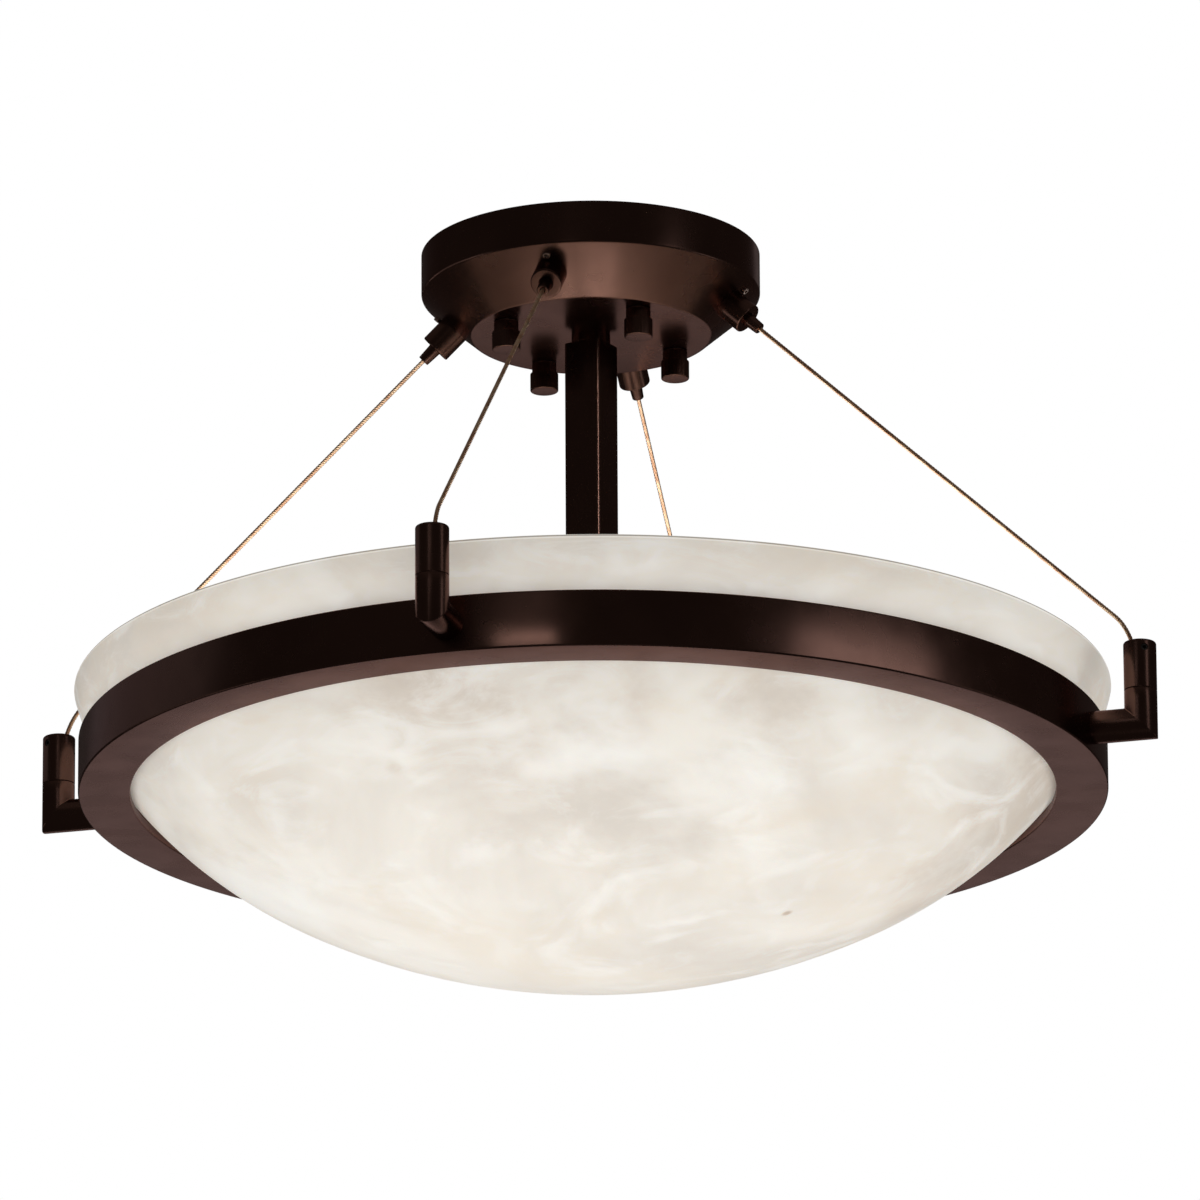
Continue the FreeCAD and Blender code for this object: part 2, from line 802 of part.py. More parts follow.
def make_cluster_cap_nut():
    """Closed dome nut under the cover."""
    bore = stem_radius + thread_fit
    bottom_z = cover_bottom_z - cap_nut_height
    return turned((
        (bore, cover_bottom_z),
        (cap_nut_radius, cover_bottom_z),
        (cap_nut_radius, bottom_z, cap_nut_rounding),
        (0, bottom_z),
        (0, cover_bottom_z - cap_nut_thread - thread_fit),
        (bore, cover_bottom_z - cap_nut_thread - thread_fit),
    ))


def lamp_turn(index):
    """The angle about Z of a lamp, measured from +X; the first one faces the front."""
    return -90 + 360 / lamp_count * index


def on_lamp_axis(shape, index):
    """A shape drawn along +Z, laid on a lamp's level axis, its z = 0 on the canopy's axis."""
    return turned_about_z(placed(shape, radial(0, lamp_axis_z), radial(1, 0)), lamp_turn(index))


def for_each_lamp(shape):
    """One copy of a shape on every lamp's axis."""
    return Part.makeCompound([on_lamp_axis(shape, i) for i in range(lamp_count)])


def make_socket_nipples():
    """Short threaded tubes from the drum into the lamp holders."""
    return for_each_lamp(tube(stem_radius, stem_bore_radius,
                              drum_radius - nipple_depth, drum_radius + nipple_reach))


def make_socket_nipple_nuts():
    """Hexagon nuts inside the drum, shaped to its wall."""
    nut = hex_nut(nipple_nut_across, 2 * nipple_nut_length, stem_radius + thread_fit)
    nut = nut.mirror(origin, up)
    nut.translate(up * (drum_radius - drum_wall + nipple_nut_length))
    laid = placed(nut, radial(0, lamp_axis_z), radial(1, 0))
    inside = Part.makeCylinder(drum_radius - drum_wall, 4 * nipple_nut_across,
                               radial(0, lamp_axis_z - 2 * nipple_nut_across))
    trimmed = laid.common(inside)
    return Part.makeCompound([turned_about_z(trimmed, lamp_turn(i)) for i in range(lamp_count)])


def make_socket(index):
    """Moulded lamp holder: a neck shaped to the drum, a body and a wider front collar."""
    collar_start = socket_front - socket_collar_length
    floor = socket_back + socket_floor
    nipple_end = drum_radius + nipple_reach + thread_fit
    body = turned((
        (stem_radius + thread_fit, drum_radius - socket_neck_length),
        (socket_neck_radius, drum_radius - socket_neck_length),
        (socket_neck_radius, socket_back),
        (socket_radius, socket_back, socket_edge_radius),
        (socket_radius, collar_start),
        (socket_collar_radius, collar_start + 1),
        (socket_collar_radius, socket_front, socket_edge_radius / 2),
        (socket_bore_radius, socket_front),
        (socket_bore_radius, floor),
        (0, floor),
        (0, nipple_end),
        (stem_radius + thread_fit, nipple_end),
    ))
    drum = Part.makeCylinder(drum_radius, 2 * drum_radius, radial(0, lamp_axis_z - drum_radius))
    laid = placed(body, radial(0, lamp_axis_z), radial(1, 0)).cut(drum)
    return turned_about_z(laid, lamp_turn(index))


def make_socket_liners():
    """Threaded brass liners, drawn as plain tubes with a turned-in foot."""
    front = socket_front - socket_edge_radius / 2
    back = front - liner_length
    inner = liner_radius - liner_wall
    return for_each_lamp(turned((
        (inner - lamp_base_taper, back),
        (liner_radius, back),
        (liner_radius, front),
        (inner, front),
        (inner, back + liner_wall),
        (inner - lamp_base_taper, back + liner_wall),
    )))


def make_socket_contacts():
    """Centre contact button on each lamp holder's floor."""
    floor = socket_back + socket_floor
    return for_each_lamp(turned((
        (0, floor),
        (contact_radius, floor),
        (contact_radius, floor + contact_height, contact_edge_radius),
        (0, floor + contact_height),
    )))


def make_lamp_base(index):
    """Metal screw base of a lamp, its thread left plain, with the tapered tip."""
    start = lamp_base_start
    taper_start = start + lamp_tip_height
    glass_start = socket_front + lamp_base_in_glass
    base = turned((
        (0, start),
        (lamp_tip_radius, start, lamp_base_rounding),
        (lamp_tip_radius + lamp_tip_flare, taper_start),
        (lamp_base_radius, taper_start + lamp_base_taper, lamp_base_rounding),
        (lamp_base_radius, glass_start),
        (0, glass_start),
    ))
    return on_lamp_axis(base, index)


def lamp_side(inset):
    """The envelope's neck line and globe arc in the radial plane, moved inwards by inset."""
    neck = radial(lamp_base_radius + lamp_neck_overlap - inset, socket_front + lamp_base_in_glass)
    centre = radial(0, lamp_end - lamp_globe_radius)
    radius = lamp_globe_radius - inset
    away = neck - centre
    spread = math.acos(radius / away.Length)
    tangent_angle = math.atan2(away.z, away.x) + spread
    middle_angle = (tangent_angle + math.pi / 2) / 2
    tangent = centre + radial(math.cos(tangent_angle), math.sin(tangent_angle)) * radius
    middle = centre + radial(math.cos(middle_angle), math.sin(middle_angle)) * radius
    top = centre + radial(0, radius)
    edges = [Part.LineSegment(neck, tangent).toShape(), Part.Arc(tangent, middle, top).toShape()]
    return edges, neck, top


def make_lamp_glass(index):
    """Hollow lamp envelope: a neck that widens into a globe."""
    outer, outer_neck, outer_top = lamp_side(0)
    inner, inner_neck, inner_top = lamp_side(lamp_glass_wall)
    ends = [
        Part.LineSegment(outer_neck, inner_neck).toShape(),
        Part.LineSegment(outer_top, inner_top).toShape(),
    ]
    outline = Part.Wire(Part.__sortEdges__(outer + inner + ends))
    return on_lamp_axis(Part.Face(outline).revolve(origin, up, 360), index)


def save(name, shape):
    """Write one node."""
    for solid in shape.Solids:
        if not solid.isValid() or solid.Volume <= 0:
            print("NOT VALID", name)
    shape.exportStep(os.path.join("parts", name + ".step"))
    print("%-22s solids %d volume %.0f" % (name, len(shape.Solids), shape.Volume))


def save_ceiling_pieces():
    """Canopy, plate, studs, screws and thumb nuts."""
    save("canopy", make_canopy())
    save("mounting_plate", make_mounting_plate())
    save("plate_studs", make_plate_studs())
    save("ground_screw", make_ground_screw())
    for i in range(4):
        save("thumb_nut_%d" % (i + 1), make_thumb_nut(i))


def save_cable_pieces():
    """Grippers, cables, caps, elbows and the ring."""
    body = make_gripper_body()
    plunger = make_gripper_plunger()
    cable = make_cable()
    stop = make_cable_stop()
    elbow = make_elbow()
    set_screws = []
    stops = []
    for i, name in enumerate(corner_names):
        angle = 90 * i - 90
        save("gripper_body_" + name, turned_about_z(body, angle))
        save("gripper_plunger_" + name, turned_about_z(plunger, angle))
        save("cable_" + name, turned_about_z(cable, angle))
        save("cable_cap_" + name, turned_about_z(make_cable_cap(set_screw_turns[i]), angle))
        save("elbow_" + name, turned_about_z(elbow, angle))
        set_screws.append(turned_about_z(make_set_screw(set_screw_turns[i]), angle))
        stops.append(turned_about_z(stop, angle))
    save("gripper_nuts", make_gripper_nuts())
    save("cap_set_screws", Part.makeCompound(set_screws))
    save("cable_stops", Part.makeCompound(stops))
    save("ring", make_ring())
    save("elbow_screws", make_elbow_screws())
    save("bowl", make_bowl())


def save_stem_pieces():
    """Rod, nuts, neck, post and the lamp cluster's housing."""
    save("stem_rod", make_stem_rod())
    save("stem_top_washer", make_stem_top_washer())
    save("stem_top_nut", make_stem_nut(canopy_floor_z + stem_washer_thickness))
    save("stem_neck", make_stem_neck())
    save("post_tube", make_post_tube())
    save("cluster_drum", make_cluster_drum())
    save("cluster_lock_nut", make_stem_nut(drum_top_z - drum_wall - stem_nut_height))
    save("cluster_cover", make_cluster_cover())
    save("cluster_cap_nut", make_cluster_cap_nut())


def save_lamp_pieces():
    """Lamp holders and lamps."""
    save("socket_nipples", make_socket_nipples())
    save("socket_nipple_nuts", make_socket_nipple_nuts())
    save("socket_liners", make_socket_liners())
    save("socket_contacts", make_socket_contacts())
    for i in range(lamp_count):
        save("socket_%d" % (i + 1), make_socket(i))
        save("lamp_base_%d" % (i + 1), make_lamp_base(i))
        save("lamp_glass_%d" % (i + 1), make_lamp_glass(i))


os.makedirs("parts", exist_ok=True)
save_ceiling_pieces()
save_cable_pieces()
save_stem_pieces()
save_lamp_pieces()
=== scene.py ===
"""A bronze semi flush ceiling light with a cloudy bowl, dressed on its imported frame.

Sizes are in millimetres where a class holds them, and the meshes are in metres. The origin is on
the canopy's axis in the ceiling plane, with +Z up, and the light's front corner is on -Y.
"""

import json
import logging
import math
from collections.abc import Callable, Sequence
from dataclasses import dataclass
from enum import Enum

import bmesh
import bpy
from mathutils import Matrix, Vector

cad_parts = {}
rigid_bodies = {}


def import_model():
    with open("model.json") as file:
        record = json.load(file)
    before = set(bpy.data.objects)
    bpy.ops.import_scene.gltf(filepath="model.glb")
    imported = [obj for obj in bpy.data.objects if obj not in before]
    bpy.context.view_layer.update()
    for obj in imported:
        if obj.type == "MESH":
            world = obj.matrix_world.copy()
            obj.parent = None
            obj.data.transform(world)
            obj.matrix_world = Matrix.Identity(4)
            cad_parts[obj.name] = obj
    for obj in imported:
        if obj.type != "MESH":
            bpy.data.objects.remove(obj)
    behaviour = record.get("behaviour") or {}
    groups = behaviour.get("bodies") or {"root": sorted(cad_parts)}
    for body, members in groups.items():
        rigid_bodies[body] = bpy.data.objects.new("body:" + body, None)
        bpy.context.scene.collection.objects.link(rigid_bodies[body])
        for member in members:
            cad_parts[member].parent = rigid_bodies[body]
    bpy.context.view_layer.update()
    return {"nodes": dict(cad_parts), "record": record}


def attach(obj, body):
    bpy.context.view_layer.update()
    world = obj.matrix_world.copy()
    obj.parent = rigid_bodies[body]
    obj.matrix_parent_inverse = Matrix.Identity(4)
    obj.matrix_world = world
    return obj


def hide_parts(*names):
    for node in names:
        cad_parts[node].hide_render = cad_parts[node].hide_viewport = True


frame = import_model()

log = logging.getLogger("ceiling_light")

MM = 0.001
UP = Vector((0.0, 0.0, 1.0))
CREASE = 32.0
SAME_SPOT = 1e-6
Triple = tuple[float, float, float]
Colour = Triple
Point = tuple[float, float]
Patch = tuple[float, float, float, float, float]


class Corner(Enum):
    """The four corners of the ring: the name of each and its turn about the axis in degrees."""

    FRONT = ("front", -90.0)
    RIGHT = ("right", 0.0)
    BACK = ("back", 90.0)
    LEFT = ("left", 180.0)

    @property
    def label(self) -> str:
        """The corner's name in the frame's nodes and bodies."""
        return self.value[0]

    @property
    def turn(self) -> Matrix:
        """The turn from +X to this corner."""
        return Matrix.Rotation(math.radians(self.value[1]), 4, "Z")


class Slot(Enum):
    """The record's material slots."""

    BRONZE = "bronze"
    ZINC = "zinc_steel"
    DARK_STEEL = "dark_steel"
    EARTH_SCREW = "earth_screw"
    CABLE = "cable_steel"
    BOWL = "bowl_glass"
    BRASS = "brass"
    HOLDER = "lamp_holder"
    SHELL = "lamp_shell"
    GLASS = "lamp_glass"


# ---------------------------------------------------------------------------------- outlines


def rounded(
    corners: Sequence[tuple[float, ...]], closed: bool = True, step: float = 9.0
) -> list[Point]:
    """Turns a list of corners into a fine outline with its roundings.

    Args:
        corners: Each corner as (r, z) or (r, z, rounding radius).
        closed: Whether the outline's last corner joins its first.
        step: Degrees between the points of a rounding.

    Returns:
        The outline's points.
    """
    spots = [Vector(c[:2]) for c in corners]
    radii = [c[2] if len(c) > 2 else 0.0 for c in corners]
    count = len(spots)
    outline: list[Point] = []
    for i, spot in enumerate(spots):
        inside = closed or 0 < i < count - 1
        if radii[i] == 0.0 or not inside:
            outline.append((spot.x, spot.y))
            continue
        back = (spots[i - 1] - spot).normalized()
        on = (spots[(i + 1) % count] - spot).normalized()
        half = back.angle(on) / 2
        middle = spot + (back + on).normalized() * (radii[i] / math.sin(half))
        start = spot + back * (radii[i] / math.tan(half)) - middle
        end = spot + on * (radii[i] / math.tan(half)) - middle
        sweep = start.angle_signed(end)
        pieces = max(2, round(abs(math.degrees(sweep)) / step))
        first = math.atan2(start.y, start.x)
        for k in range(pieces + 1):
            angle = first - sweep * k / pieces
            across, up = radii[i] * math.cos(angle), radii[i] * math.sin(angle)
            outline.append((middle.x + across, middle.y + up))
    return outline


def circle(radius: float, sides: int) -> list[Point]:
    """The corners (x, y) of a fine round section."""
    turns = [2 * math.pi * k / sides for k in range(sides)]
    return [(radius * math.cos(a), radius * math.sin(a)) for a in turns]


# ------------------------------------------------------------------------------------ meshes


def finished_object(
    name: str, mesh: bmesh.types.BMesh, sharp: float = CREASE
) -> bpy.types.Object:
    """Makes an object from a bmesh, with smooth faces and creases at its sharp edges.

    Args:
        name: The piece's name.
        mesh: The shape, in metres. It is freed.
        sharp: The angle in degrees above which an edge is a crease.

    Returns:
        The new object, in the scene.
    """
    bmesh.ops.recalc_face_normals(mesh, faces=mesh.faces)
    data = bpy.data.meshes.new(name)
    mesh.to_mesh(data)
    mesh.free()
    data.shade_smooth()
    data.set_sharp_from_angle(angle=math.radians(sharp))
    piece = bpy.data.objects.new(name, data)
    bpy.context.scene.collection.objects.link(piece)
    return piece


def add_turned(
    mesh: bmesh.types.BMesh,
    outline: Sequence[Point],
    segments: int,
    closed: bool = True,
    place: Matrix | None = None,
    relief: Callable[[float, float, float], float] | None = None,
) -> None:
    """Adds a turned form to a bmesh.

    Args:
        mesh: The bmesh that receives it.
        outline: Points (r, z) in millimetres.
        segments: Faces round the axis.
        closed: Whether the outline's last point joins its first.
        place: Where the form goes, in millimetres, from its own axis +Z.
        relief: Gives the radius at (r, z, angle), for ribs and the like.
    """
    where = place or Matrix.Identity(4)
    rings: list[list[bmesh.types.BMVert]] = []
    for r, z in outline:
        turns = segments if r > SAME_SPOT else 1
        ring = []
        for k in range(turns):
            angle = 2 * math.pi * k / segments
            radius = relief(r, z, angle) if relief else r
            spot = where @ Vector((radius * math.cos(angle), radius * math.sin(angle), z))
            ring.append(mesh.verts.new(spot * MM))
        rings.append(ring)
    pairs = list(zip(rings, rings[1:]))
    if closed:
        pairs.append((rings[-1], rings[0]))
    for low, high in pairs:
        if len(low) == 1 and len(high) == 1:
            continue
        for k in range(segments):
            on = (k + 1) % segments
            below = (low[k % len(low)], low[on % len(low)])
            above = (high[on % len(high)], high[k % len(high)])
            face = list(dict.fromkeys(below + above))
            if len(face) > 2:
                mesh.faces.new(face)


def turned_object(
    name: str, outline: Sequence[Point], segments: int, closed: bool = True
) -> bpy.types.Object:
    """Makes one turned piece about the light's axis.

    Args:
        name: The piece's name.
        outline: Points (r, z) in millimetres.
        segments: Faces round the axis.
        closed: Whether the outline's last point joins its first.

    Returns:
        The new object.
    """
    mesh = bmesh.new()
    add_turned(mesh, outline, segments, closed)
    return finished_object(name, mesh)


def add_rows(
    mesh: bmesh.types.BMesh,
    rows: Sequence[Sequence[Vector]],
    unit: float = MM,
    looped: bool = False,
) -> None:
    """Adds a closed skin over rows of points that all have the same count.

    Args:
        mesh: The bmesh that receives it.
        rows: Rings of points.
        unit: What 1 is in metres in the rows.
        looped: Whether the last ring joins the first; without it, both get a flat end.
    """
    rings = [[mesh.verts.new(p * unit) for p in row] for row in rows]
    for low, high in zip(rings, rings[1:] + rings[:1] if looped else rings[1:]):
        for k in range(len(low)):
            on = (k + 1) % len(low)
            mesh.faces.new((low[k], low[on], high[on], high[k]))
    if not looped:
        mesh.faces.new(rings[0])
        mesh.faces.new(rings[-1])


def bored(piece: bpy.types.Object, cutter: bpy.types.Object) -> None:
    """Cuts one object's shape out of another, and deletes the cutter.

    Args:
        piece: The object that gets the hole.
        cutter: The shape of the hole.
    """
    cut = piece.modifiers.new("hole", "BOOLEAN")
    cut.operation = "DIFFERENCE"
    cut.solver = "EXACT"
    cut.object = cutter
    bpy.context.view_layer.update()
    seen = piece.evaluated_get(bpy.context.evaluated_depsgraph_get())
    data = bpy.data.meshes.new_from_object(seen)
    piece.modifiers.remove(cut)
    piece.data = data
    data.set_sharp_from_angle(angle=math.radians(CREASE))
    bpy.data.objects.remove(cutter)


def along(direction: Vector, start: Vector) -> Matrix:
    """The place of a form drawn along +Z that is moved to start and turned to direction."""
    return Matrix.Translation(start) @ UP.rotation_difference(direction).to_matrix().to_4x4()


def dress(
    piece: bpy.types.Object,
    finish: bpy.types.Material,
    body: str,
    nodes: Sequence[str] = (),
) -> bpy.types.Object:
    """Gives a new piece its finish, its body and the frame nodes that it stands for.

    Args:
        piece: The new piece.
        finish: Its material.
        body: The body that it rides on.
        nodes: The frame nodes that it replaces.

    Returns:
        The same piece.
    """
    piece.data.materials.clear()
    piece.data.materials.append(finish)
    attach(piece, body)
    if nodes:
        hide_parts(*nodes)
    log.info("%s: %d faces, on %s", piece.name, len(piece.data.polygons), body)
    return piece


# ---------------------------------------------------------------------------------- finishes


@dataclass(frozen=True)
class Grain:
    """One layer of noise: its size, how it swirls and is stretched, and which part of it shows."""

    scale: float
    detail: float = 3.0
    swirl: float = 0.0
    fineness: float = 0.5
    stretch: Triple | None = None
    low: float = 0.35
    high: float = 0.65


class NodeBench:
    """A node tree, with short ways to add and join its nodes."""

    def __init__(self, tree: bpy.types.NodeTree) -> None:
        """Takes up a node tree."""
        self.tree = tree

    def add(self, kind: str, **settings: object) -> bpy.types.Node:
        """Adds a node.

        Args:
            kind: The node's type.
            **settings: Its properties.

        Returns:
            The new node.
        """
        node = self.tree.nodes.new(kind)
        for key, value in settings.items():
            setattr(node, key, value)
        return node

    def join(self, out: bpy.types.NodeSocket, into: bpy.types.NodeSocket) -> None:
        """Links two sockets."""
        self.tree.links.new(out, into)

    def spread(
        self,
        value: bpy.types.NodeSocket,
        start: Point,
        end: Point,
        manner: str = "SMOOTHSTEP",
    ) -> bpy.types.NodeSocket:
        """Maps a range to another.

        Args:
            value: What is mapped.
            start: The range's two ends.
            end: What the two ends become.
            manner: The node's way between the two ends.

        Returns:
            The mapped value.
        """
        node = self.add("ShaderNodeMapRange", interpolation_type=manner)
        for key, number in zip(("From Min", "From Max", "To Min", "To Max"), (*start, *end)):
            node.inputs[key].default_value = number
        self.join(value, node.inputs["Value"])
        return node.outputs["Result"]


class FinishBench(NodeBench):
    """A finish's node tree, round its surface shader."""

    def __init__(self, name: str) -> None:
        """Starts an empty material with its surface shader.

        Args:
            name: The material's name.
        """
        self.material = bpy.data.materials.new(name)
        self.material.use_nodes = True
        super().__init__(self.material.node_tree)
        self.shader = self.tree.nodes["Principled BSDF"]
        self.place = self.add("ShaderNodeTexCoord").outputs["Object"]

    def stretched(self, scale: Sequence[float]) -> bpy.types.NodeSocket:
        """Gives the object's coordinates scaled along each axis.

        Args:
            scale: The scale along X, Y and Z.

        Returns:
            The scaled coordinates.
        """
        node = self.add("ShaderNodeMapping")
        node.inputs["Scale"].default_value = scale
        self.join(self.place, node.inputs["Vector"])
        return node.outputs["Vector"]

    def noise(self, grain: Grain, kind: str = "FBM") -> bpy.types.Node:
        """Adds a noise texture.

        Args:
            grain: Its size and way.
            kind: The node's kind of noise.

        Returns:
            The node, whose "Fac" is the noise.
        """
        node = self.add("ShaderNodeTexNoise", noise_type=kind)
        node.inputs["Scale"].default_value = grain.scale
        node.inputs["Detail"].default_value = grain.detail
        node.inputs["Distortion"].default_value = grain.swirl
        node.inputs["Roughness"].default_value = grain.fineness
        place = self.stretched(grain.stretch) if grain.stretch else self.place
        self.join(place, node.inputs["Vector"])
        return node

    def layer(
        self, grain: Grain, end: Point = (0.0, 1.0), kind: str = "FBM"
    ) -> bpy.types.NodeSocket:
        """Gives the part of a noise that shows.

        Args:
            grain: The noise.
            end: What the part's two ends become.
            kind: The node's kind of noise.

        Returns:
            The layer's strength.
        """
        return self.spread(self.noise(grain, kind).outputs["Fac"], (grain.low, grain.high), end)

    def blend(
        self, amount: bpy.types.NodeSocket, first: object, second: object
    ) -> bpy.types.NodeSocket:
        """Blends two colours.

        Args:
            amount: 0 for the first colour and 1 for the second.
            first: A colour, or a socket that has one.
            second: A colour, or a socket that has one.

        Returns:
            The blended colour.
        """
        node = self.add("ShaderNodeMix", data_type="RGBA")
        self.join(amount, node.inputs["Factor"])
        for key, colour in ((6, first), (7, second)):
            if isinstance(colour, bpy.types.NodeSocket):
                self.join(colour, node.inputs[key])
            else:
                node.inputs[key].default_value = (*colour, 1.0)
        return node.outputs[2]

    def mottle(self, grain: Grain, first: Colour, second: Colour) -> None:
        """Gives the shader a colour that drifts between two."""
        self.join(self.blend(self.layer(grain), first, second), self.shader.inputs["Base Color"])

    def haze(self, grain: Grain, least: float, most: float) -> None:
        """Gives the shader a roughness that drifts between two."""
        self.join(self.layer(grain, (least, most)), self.shader.inputs["Roughness"])

    def bump(self, grain: Grain, depth: float) -> None:
        """Puts a noise on the shader's normal.

        Args:
            grain: The noise.
            depth: How deep it is, in metres.
        """
        node = self.add("ShaderNodeBump")
        node.inputs["Strength"].default_value = 1.0
        node.inputs["Distance"].default_value = depth
        self.join(self.noise(grain).outputs["Fac"], node.inputs["Height"])
        self.join(node.outputs["Normal"], self.shader.inputs["Normal"])

    def near(
        self, place: bpy.types.NodeSocket, middle: Vector, radius: float, depth: float
    ) -> bpy.types.NodeSocket:
        """Gives a soft patch round a spot.

        Args:
            place: The coordinates.
            middle: The patch's middle, in metres.
            radius: Its radius, in metres.
            depth: Its strength in the middle.

        Returns:
            The patch: depth in the middle and 0 outside.
        """
        away = self.add("ShaderNodeVectorMath", operation="DISTANCE")
        self.join(place, away.inputs[0])
        away.inputs[1].default_value = middle
        return self.spread(away.outputs["Value"], (radius * 0.2, radius), (depth, 0.0))

    def set(self, **values: object) -> None:
        """Sets the shader's own sockets; an underscore in a name is a space there."""
        for key, value in values.items():
            self.shader.inputs[key.replace("_", " ")].default_value = value


@dataclass(frozen=True)
class PaintedBronze:
    """Dark bronze lacquer on steel: brown metal flake under a thin clear coat."""

    name: str = "dark_bronze"
    deep: Colour = (0.107, 0.057, 0.045)
    warm: Colour = (0.126, 0.067, 0.053)
    edge_tint: Colour = (0.75, 0.64, 0.64)
    roughness: float = 0.25
    drift: Grain = Grain(22.0, 4.0, 0.4, low=0.32, high=0.68)
    breath: Grain = Grain(60.0, 5.0, low=0.3, high=0.7)
    orange_peel: Grain = Grain(900.0, 2.0)
    peel_depth: float = 0.000001

    def material(self) -> bpy.types.Material:
        """Builds the finish, with slow changes of tone and a very fine orange peel.

        Returns:
            The material.
        """
        bench = FinishBench(self.name)
        bench.mottle(self.drift, self.deep, self.warm)
        bench.haze(self.breath, self.roughness - 0.025, self.roughness + 0.035)
        bench.bump(self.orange_peel, self.peel_depth)
        bench.set(Metallic=1.0, Specular_Tint=(*self.edge_tint, 1.0))
        return bench.material


@dataclass(frozen=True)
class CloudyStone:
    """The bowl's off-white cast stone, with lying clouds, faint veins and small blemishes.

    A cloud, clearing or blemish is a patch: x, y, z and size in millimetres, then its strength.
    The painted glow by slope is a line of points: the Z of the surface's normal, and the glow
    there. It is painted light that the bowl gives off though it is no lamp: raised where the ring's
    shade falls on the outside, and bright only near the middle inside.
    """

    name: str = "cloudy_bowl"
    light: Colour = (0.880, 0.845, 0.785)
    warm: Colour = (0.790, 0.720, 0.625)
    grey: Colour = (0.700, 0.655, 0.595)
    wisp: Colour = (0.935, 0.925, 0.895)
    shade: Colour = (0.610, 0.525, 0.440)
    vein: Colour = (0.470, 0.360, 0.260)
    cloud: Grain = Grain(6.0, 10.0, 0.7, 0.60, (1.0, 1.0, 1.7), 0.34, 0.64)
    drift: Grain = Grain(9.5, 10.0, 0.9, 0.64, (1.0, 1.0, 2.6), 0.44, 0.66)
    drift_strength: float = 0.62
    wisps: Grain = Grain(19.0, 12.0, 1.0, 0.66, (1.0, 1.0, 2.6), 0.47, 0.70)
    wisps_strength: float = 0.60
    veins: Grain = Grain(8.0, 6.0, 1.2, 0.5, (1.0, 1.0, 1.7), 1.25, 1.85)
    veins_strength: float = 0.14
    swirl: Grain = Grain(11.0, 8.0, 0.0, 0.62, (1.0, 1.0, 1.7))
    swirl_reach: float = 0.16
    clouds: tuple[Patch, ...] = (
        (194.5, 29.6, -258.9, 62.0, 0.60), (155.2, 48.4, -287.2, 50.0, 0.40),
        (132.4, -141.1, -261.7, 48.0, 0.40), (-17.4, -194.9, -259.7, 52.0, 0.45),
        (60.0, -190.0, -260.0, 36.0, 0.25), (-228.0, -40.0, -222.0, 50.0, 0.45),
    )
    clearings: tuple[Patch, ...] = (
        (32.7, -167.9, -280.9, 46.0, 0.60), (-148.1, -21.5, -295.0, 62.0, 0.60),
        (82.2, -121.5, -296.6, 46.0, 0.30),
    )
    blemishes: tuple[Patch, ...] = (
        (92.2, -14.5, -319.0, 3.4, 0.70), (-42.8, -162.9, -282.8, 6.0, 0.20),
    )
    roughness: float = 0.36
    pores: Grain = Grain(38.0, 3.0)
    pore_depth: float = 0.00010
    # Strength of the bowl's painted glow: painted light that stands in for the lamps inside and the
    # room's light.
    glow: float = 1.17
    glow_by_slope: tuple[Point, ...] = (
        (-1.0, 0.31), (-0.92, 0.30), (-0.80, 0.27), (-0.66, 0.24), (-0.53, 0.37),
        (-0.40, 0.27), (-0.24, 0.20), (-0.12, 0.34), (0.17, 0.40), (0.26, 0.03),
        (0.66, 0.07), (0.877, 0.50), (0.95, 1.00), (1.0, 1.00),
    )

    def material(self) -> bpy.types.Material:
        """Builds the finish.

        Returns:
            The material.
        """
        bench = FinishBench(self.name)
        stone = bench.blend(bench.layer(self.cloud), self.grey, self.light)
        stone = bench.blend(bench.layer(self.drift, (0.0, self.drift_strength)), stone, self.warm)
        swirled = bench.add("ShaderNodeVectorMath", operation="MULTIPLY_ADD")
        bench.join(bench.noise(self.swirl).outputs["Color"], swirled.inputs[0])
        reach = Vector((self.swirl_reach,) * 3)
        swirled.inputs[1].default_value = reach
        bench.join(bench.place, swirled.inputs[2])
        for patches, colour in ((self.clouds, self.shade), (self.clearings, self.wisp)):
            stone = self.patched(bench, stone, swirled.outputs[0], patches, colour, reach / 2)
        stone = bench.blend(bench.layer(self.wisps, (0.0, self.wisps_strength)), stone, self.wisp)
        veins = bench.layer(self.veins, (0.0, self.veins_strength), "RIDGED_MULTIFRACTAL")
        stone = bench.blend(veins, stone, self.vein)
        stone = self.patched(bench, stone, bench.place, self.blemishes, self.vein, Vector())
        bench.join(stone, bench.shader.inputs["Base Color"])
        # The emission is a painted glow set by the surface's slope, not a lamp: it stands in for
        # the lamps' light and evens out the shade.
        bench.join(self.lit(bench, stone), bench.shader.inputs["Emission Color"])
        bench.bump(self.pores, self.pore_depth)
        bench.set(Emission_Strength=self.glow)
        bench.set(Roughness=self.roughness, Subsurface_Weight=0.22, Subsurface_Scale=0.006)
        bench.set(Subsurface_Radius=(1.0, 0.75, 0.5), Specular_IOR_Level=0.10)
        return bench.material

    def patched(
        self,
        bench: FinishBench,
        stone: bpy.types.NodeSocket,
        place: bpy.types.NodeSocket,
        patches: Sequence[Patch],
        colour: Colour,
        shift: Vector,
    ) -> bpy.types.NodeSocket:
        """Lays soft patches of one colour on the stone.

        Args:
            bench: The finish's nodes.
            stone: The stone's colour so far.
            place: The coordinates that the patches lie in.
            patches: The patches.
            colour: Their colour.
            shift: What the coordinates are shifted by on the whole, in metres.

        Returns:
            The stone's colour with the patches.
        """
        for x, y, z, size, depth in patches:
            spot = Vector((x, y, z)) * MM + shift
            stone = bench.blend(bench.near(place, spot, size * MM, depth), stone, colour)
        return stone

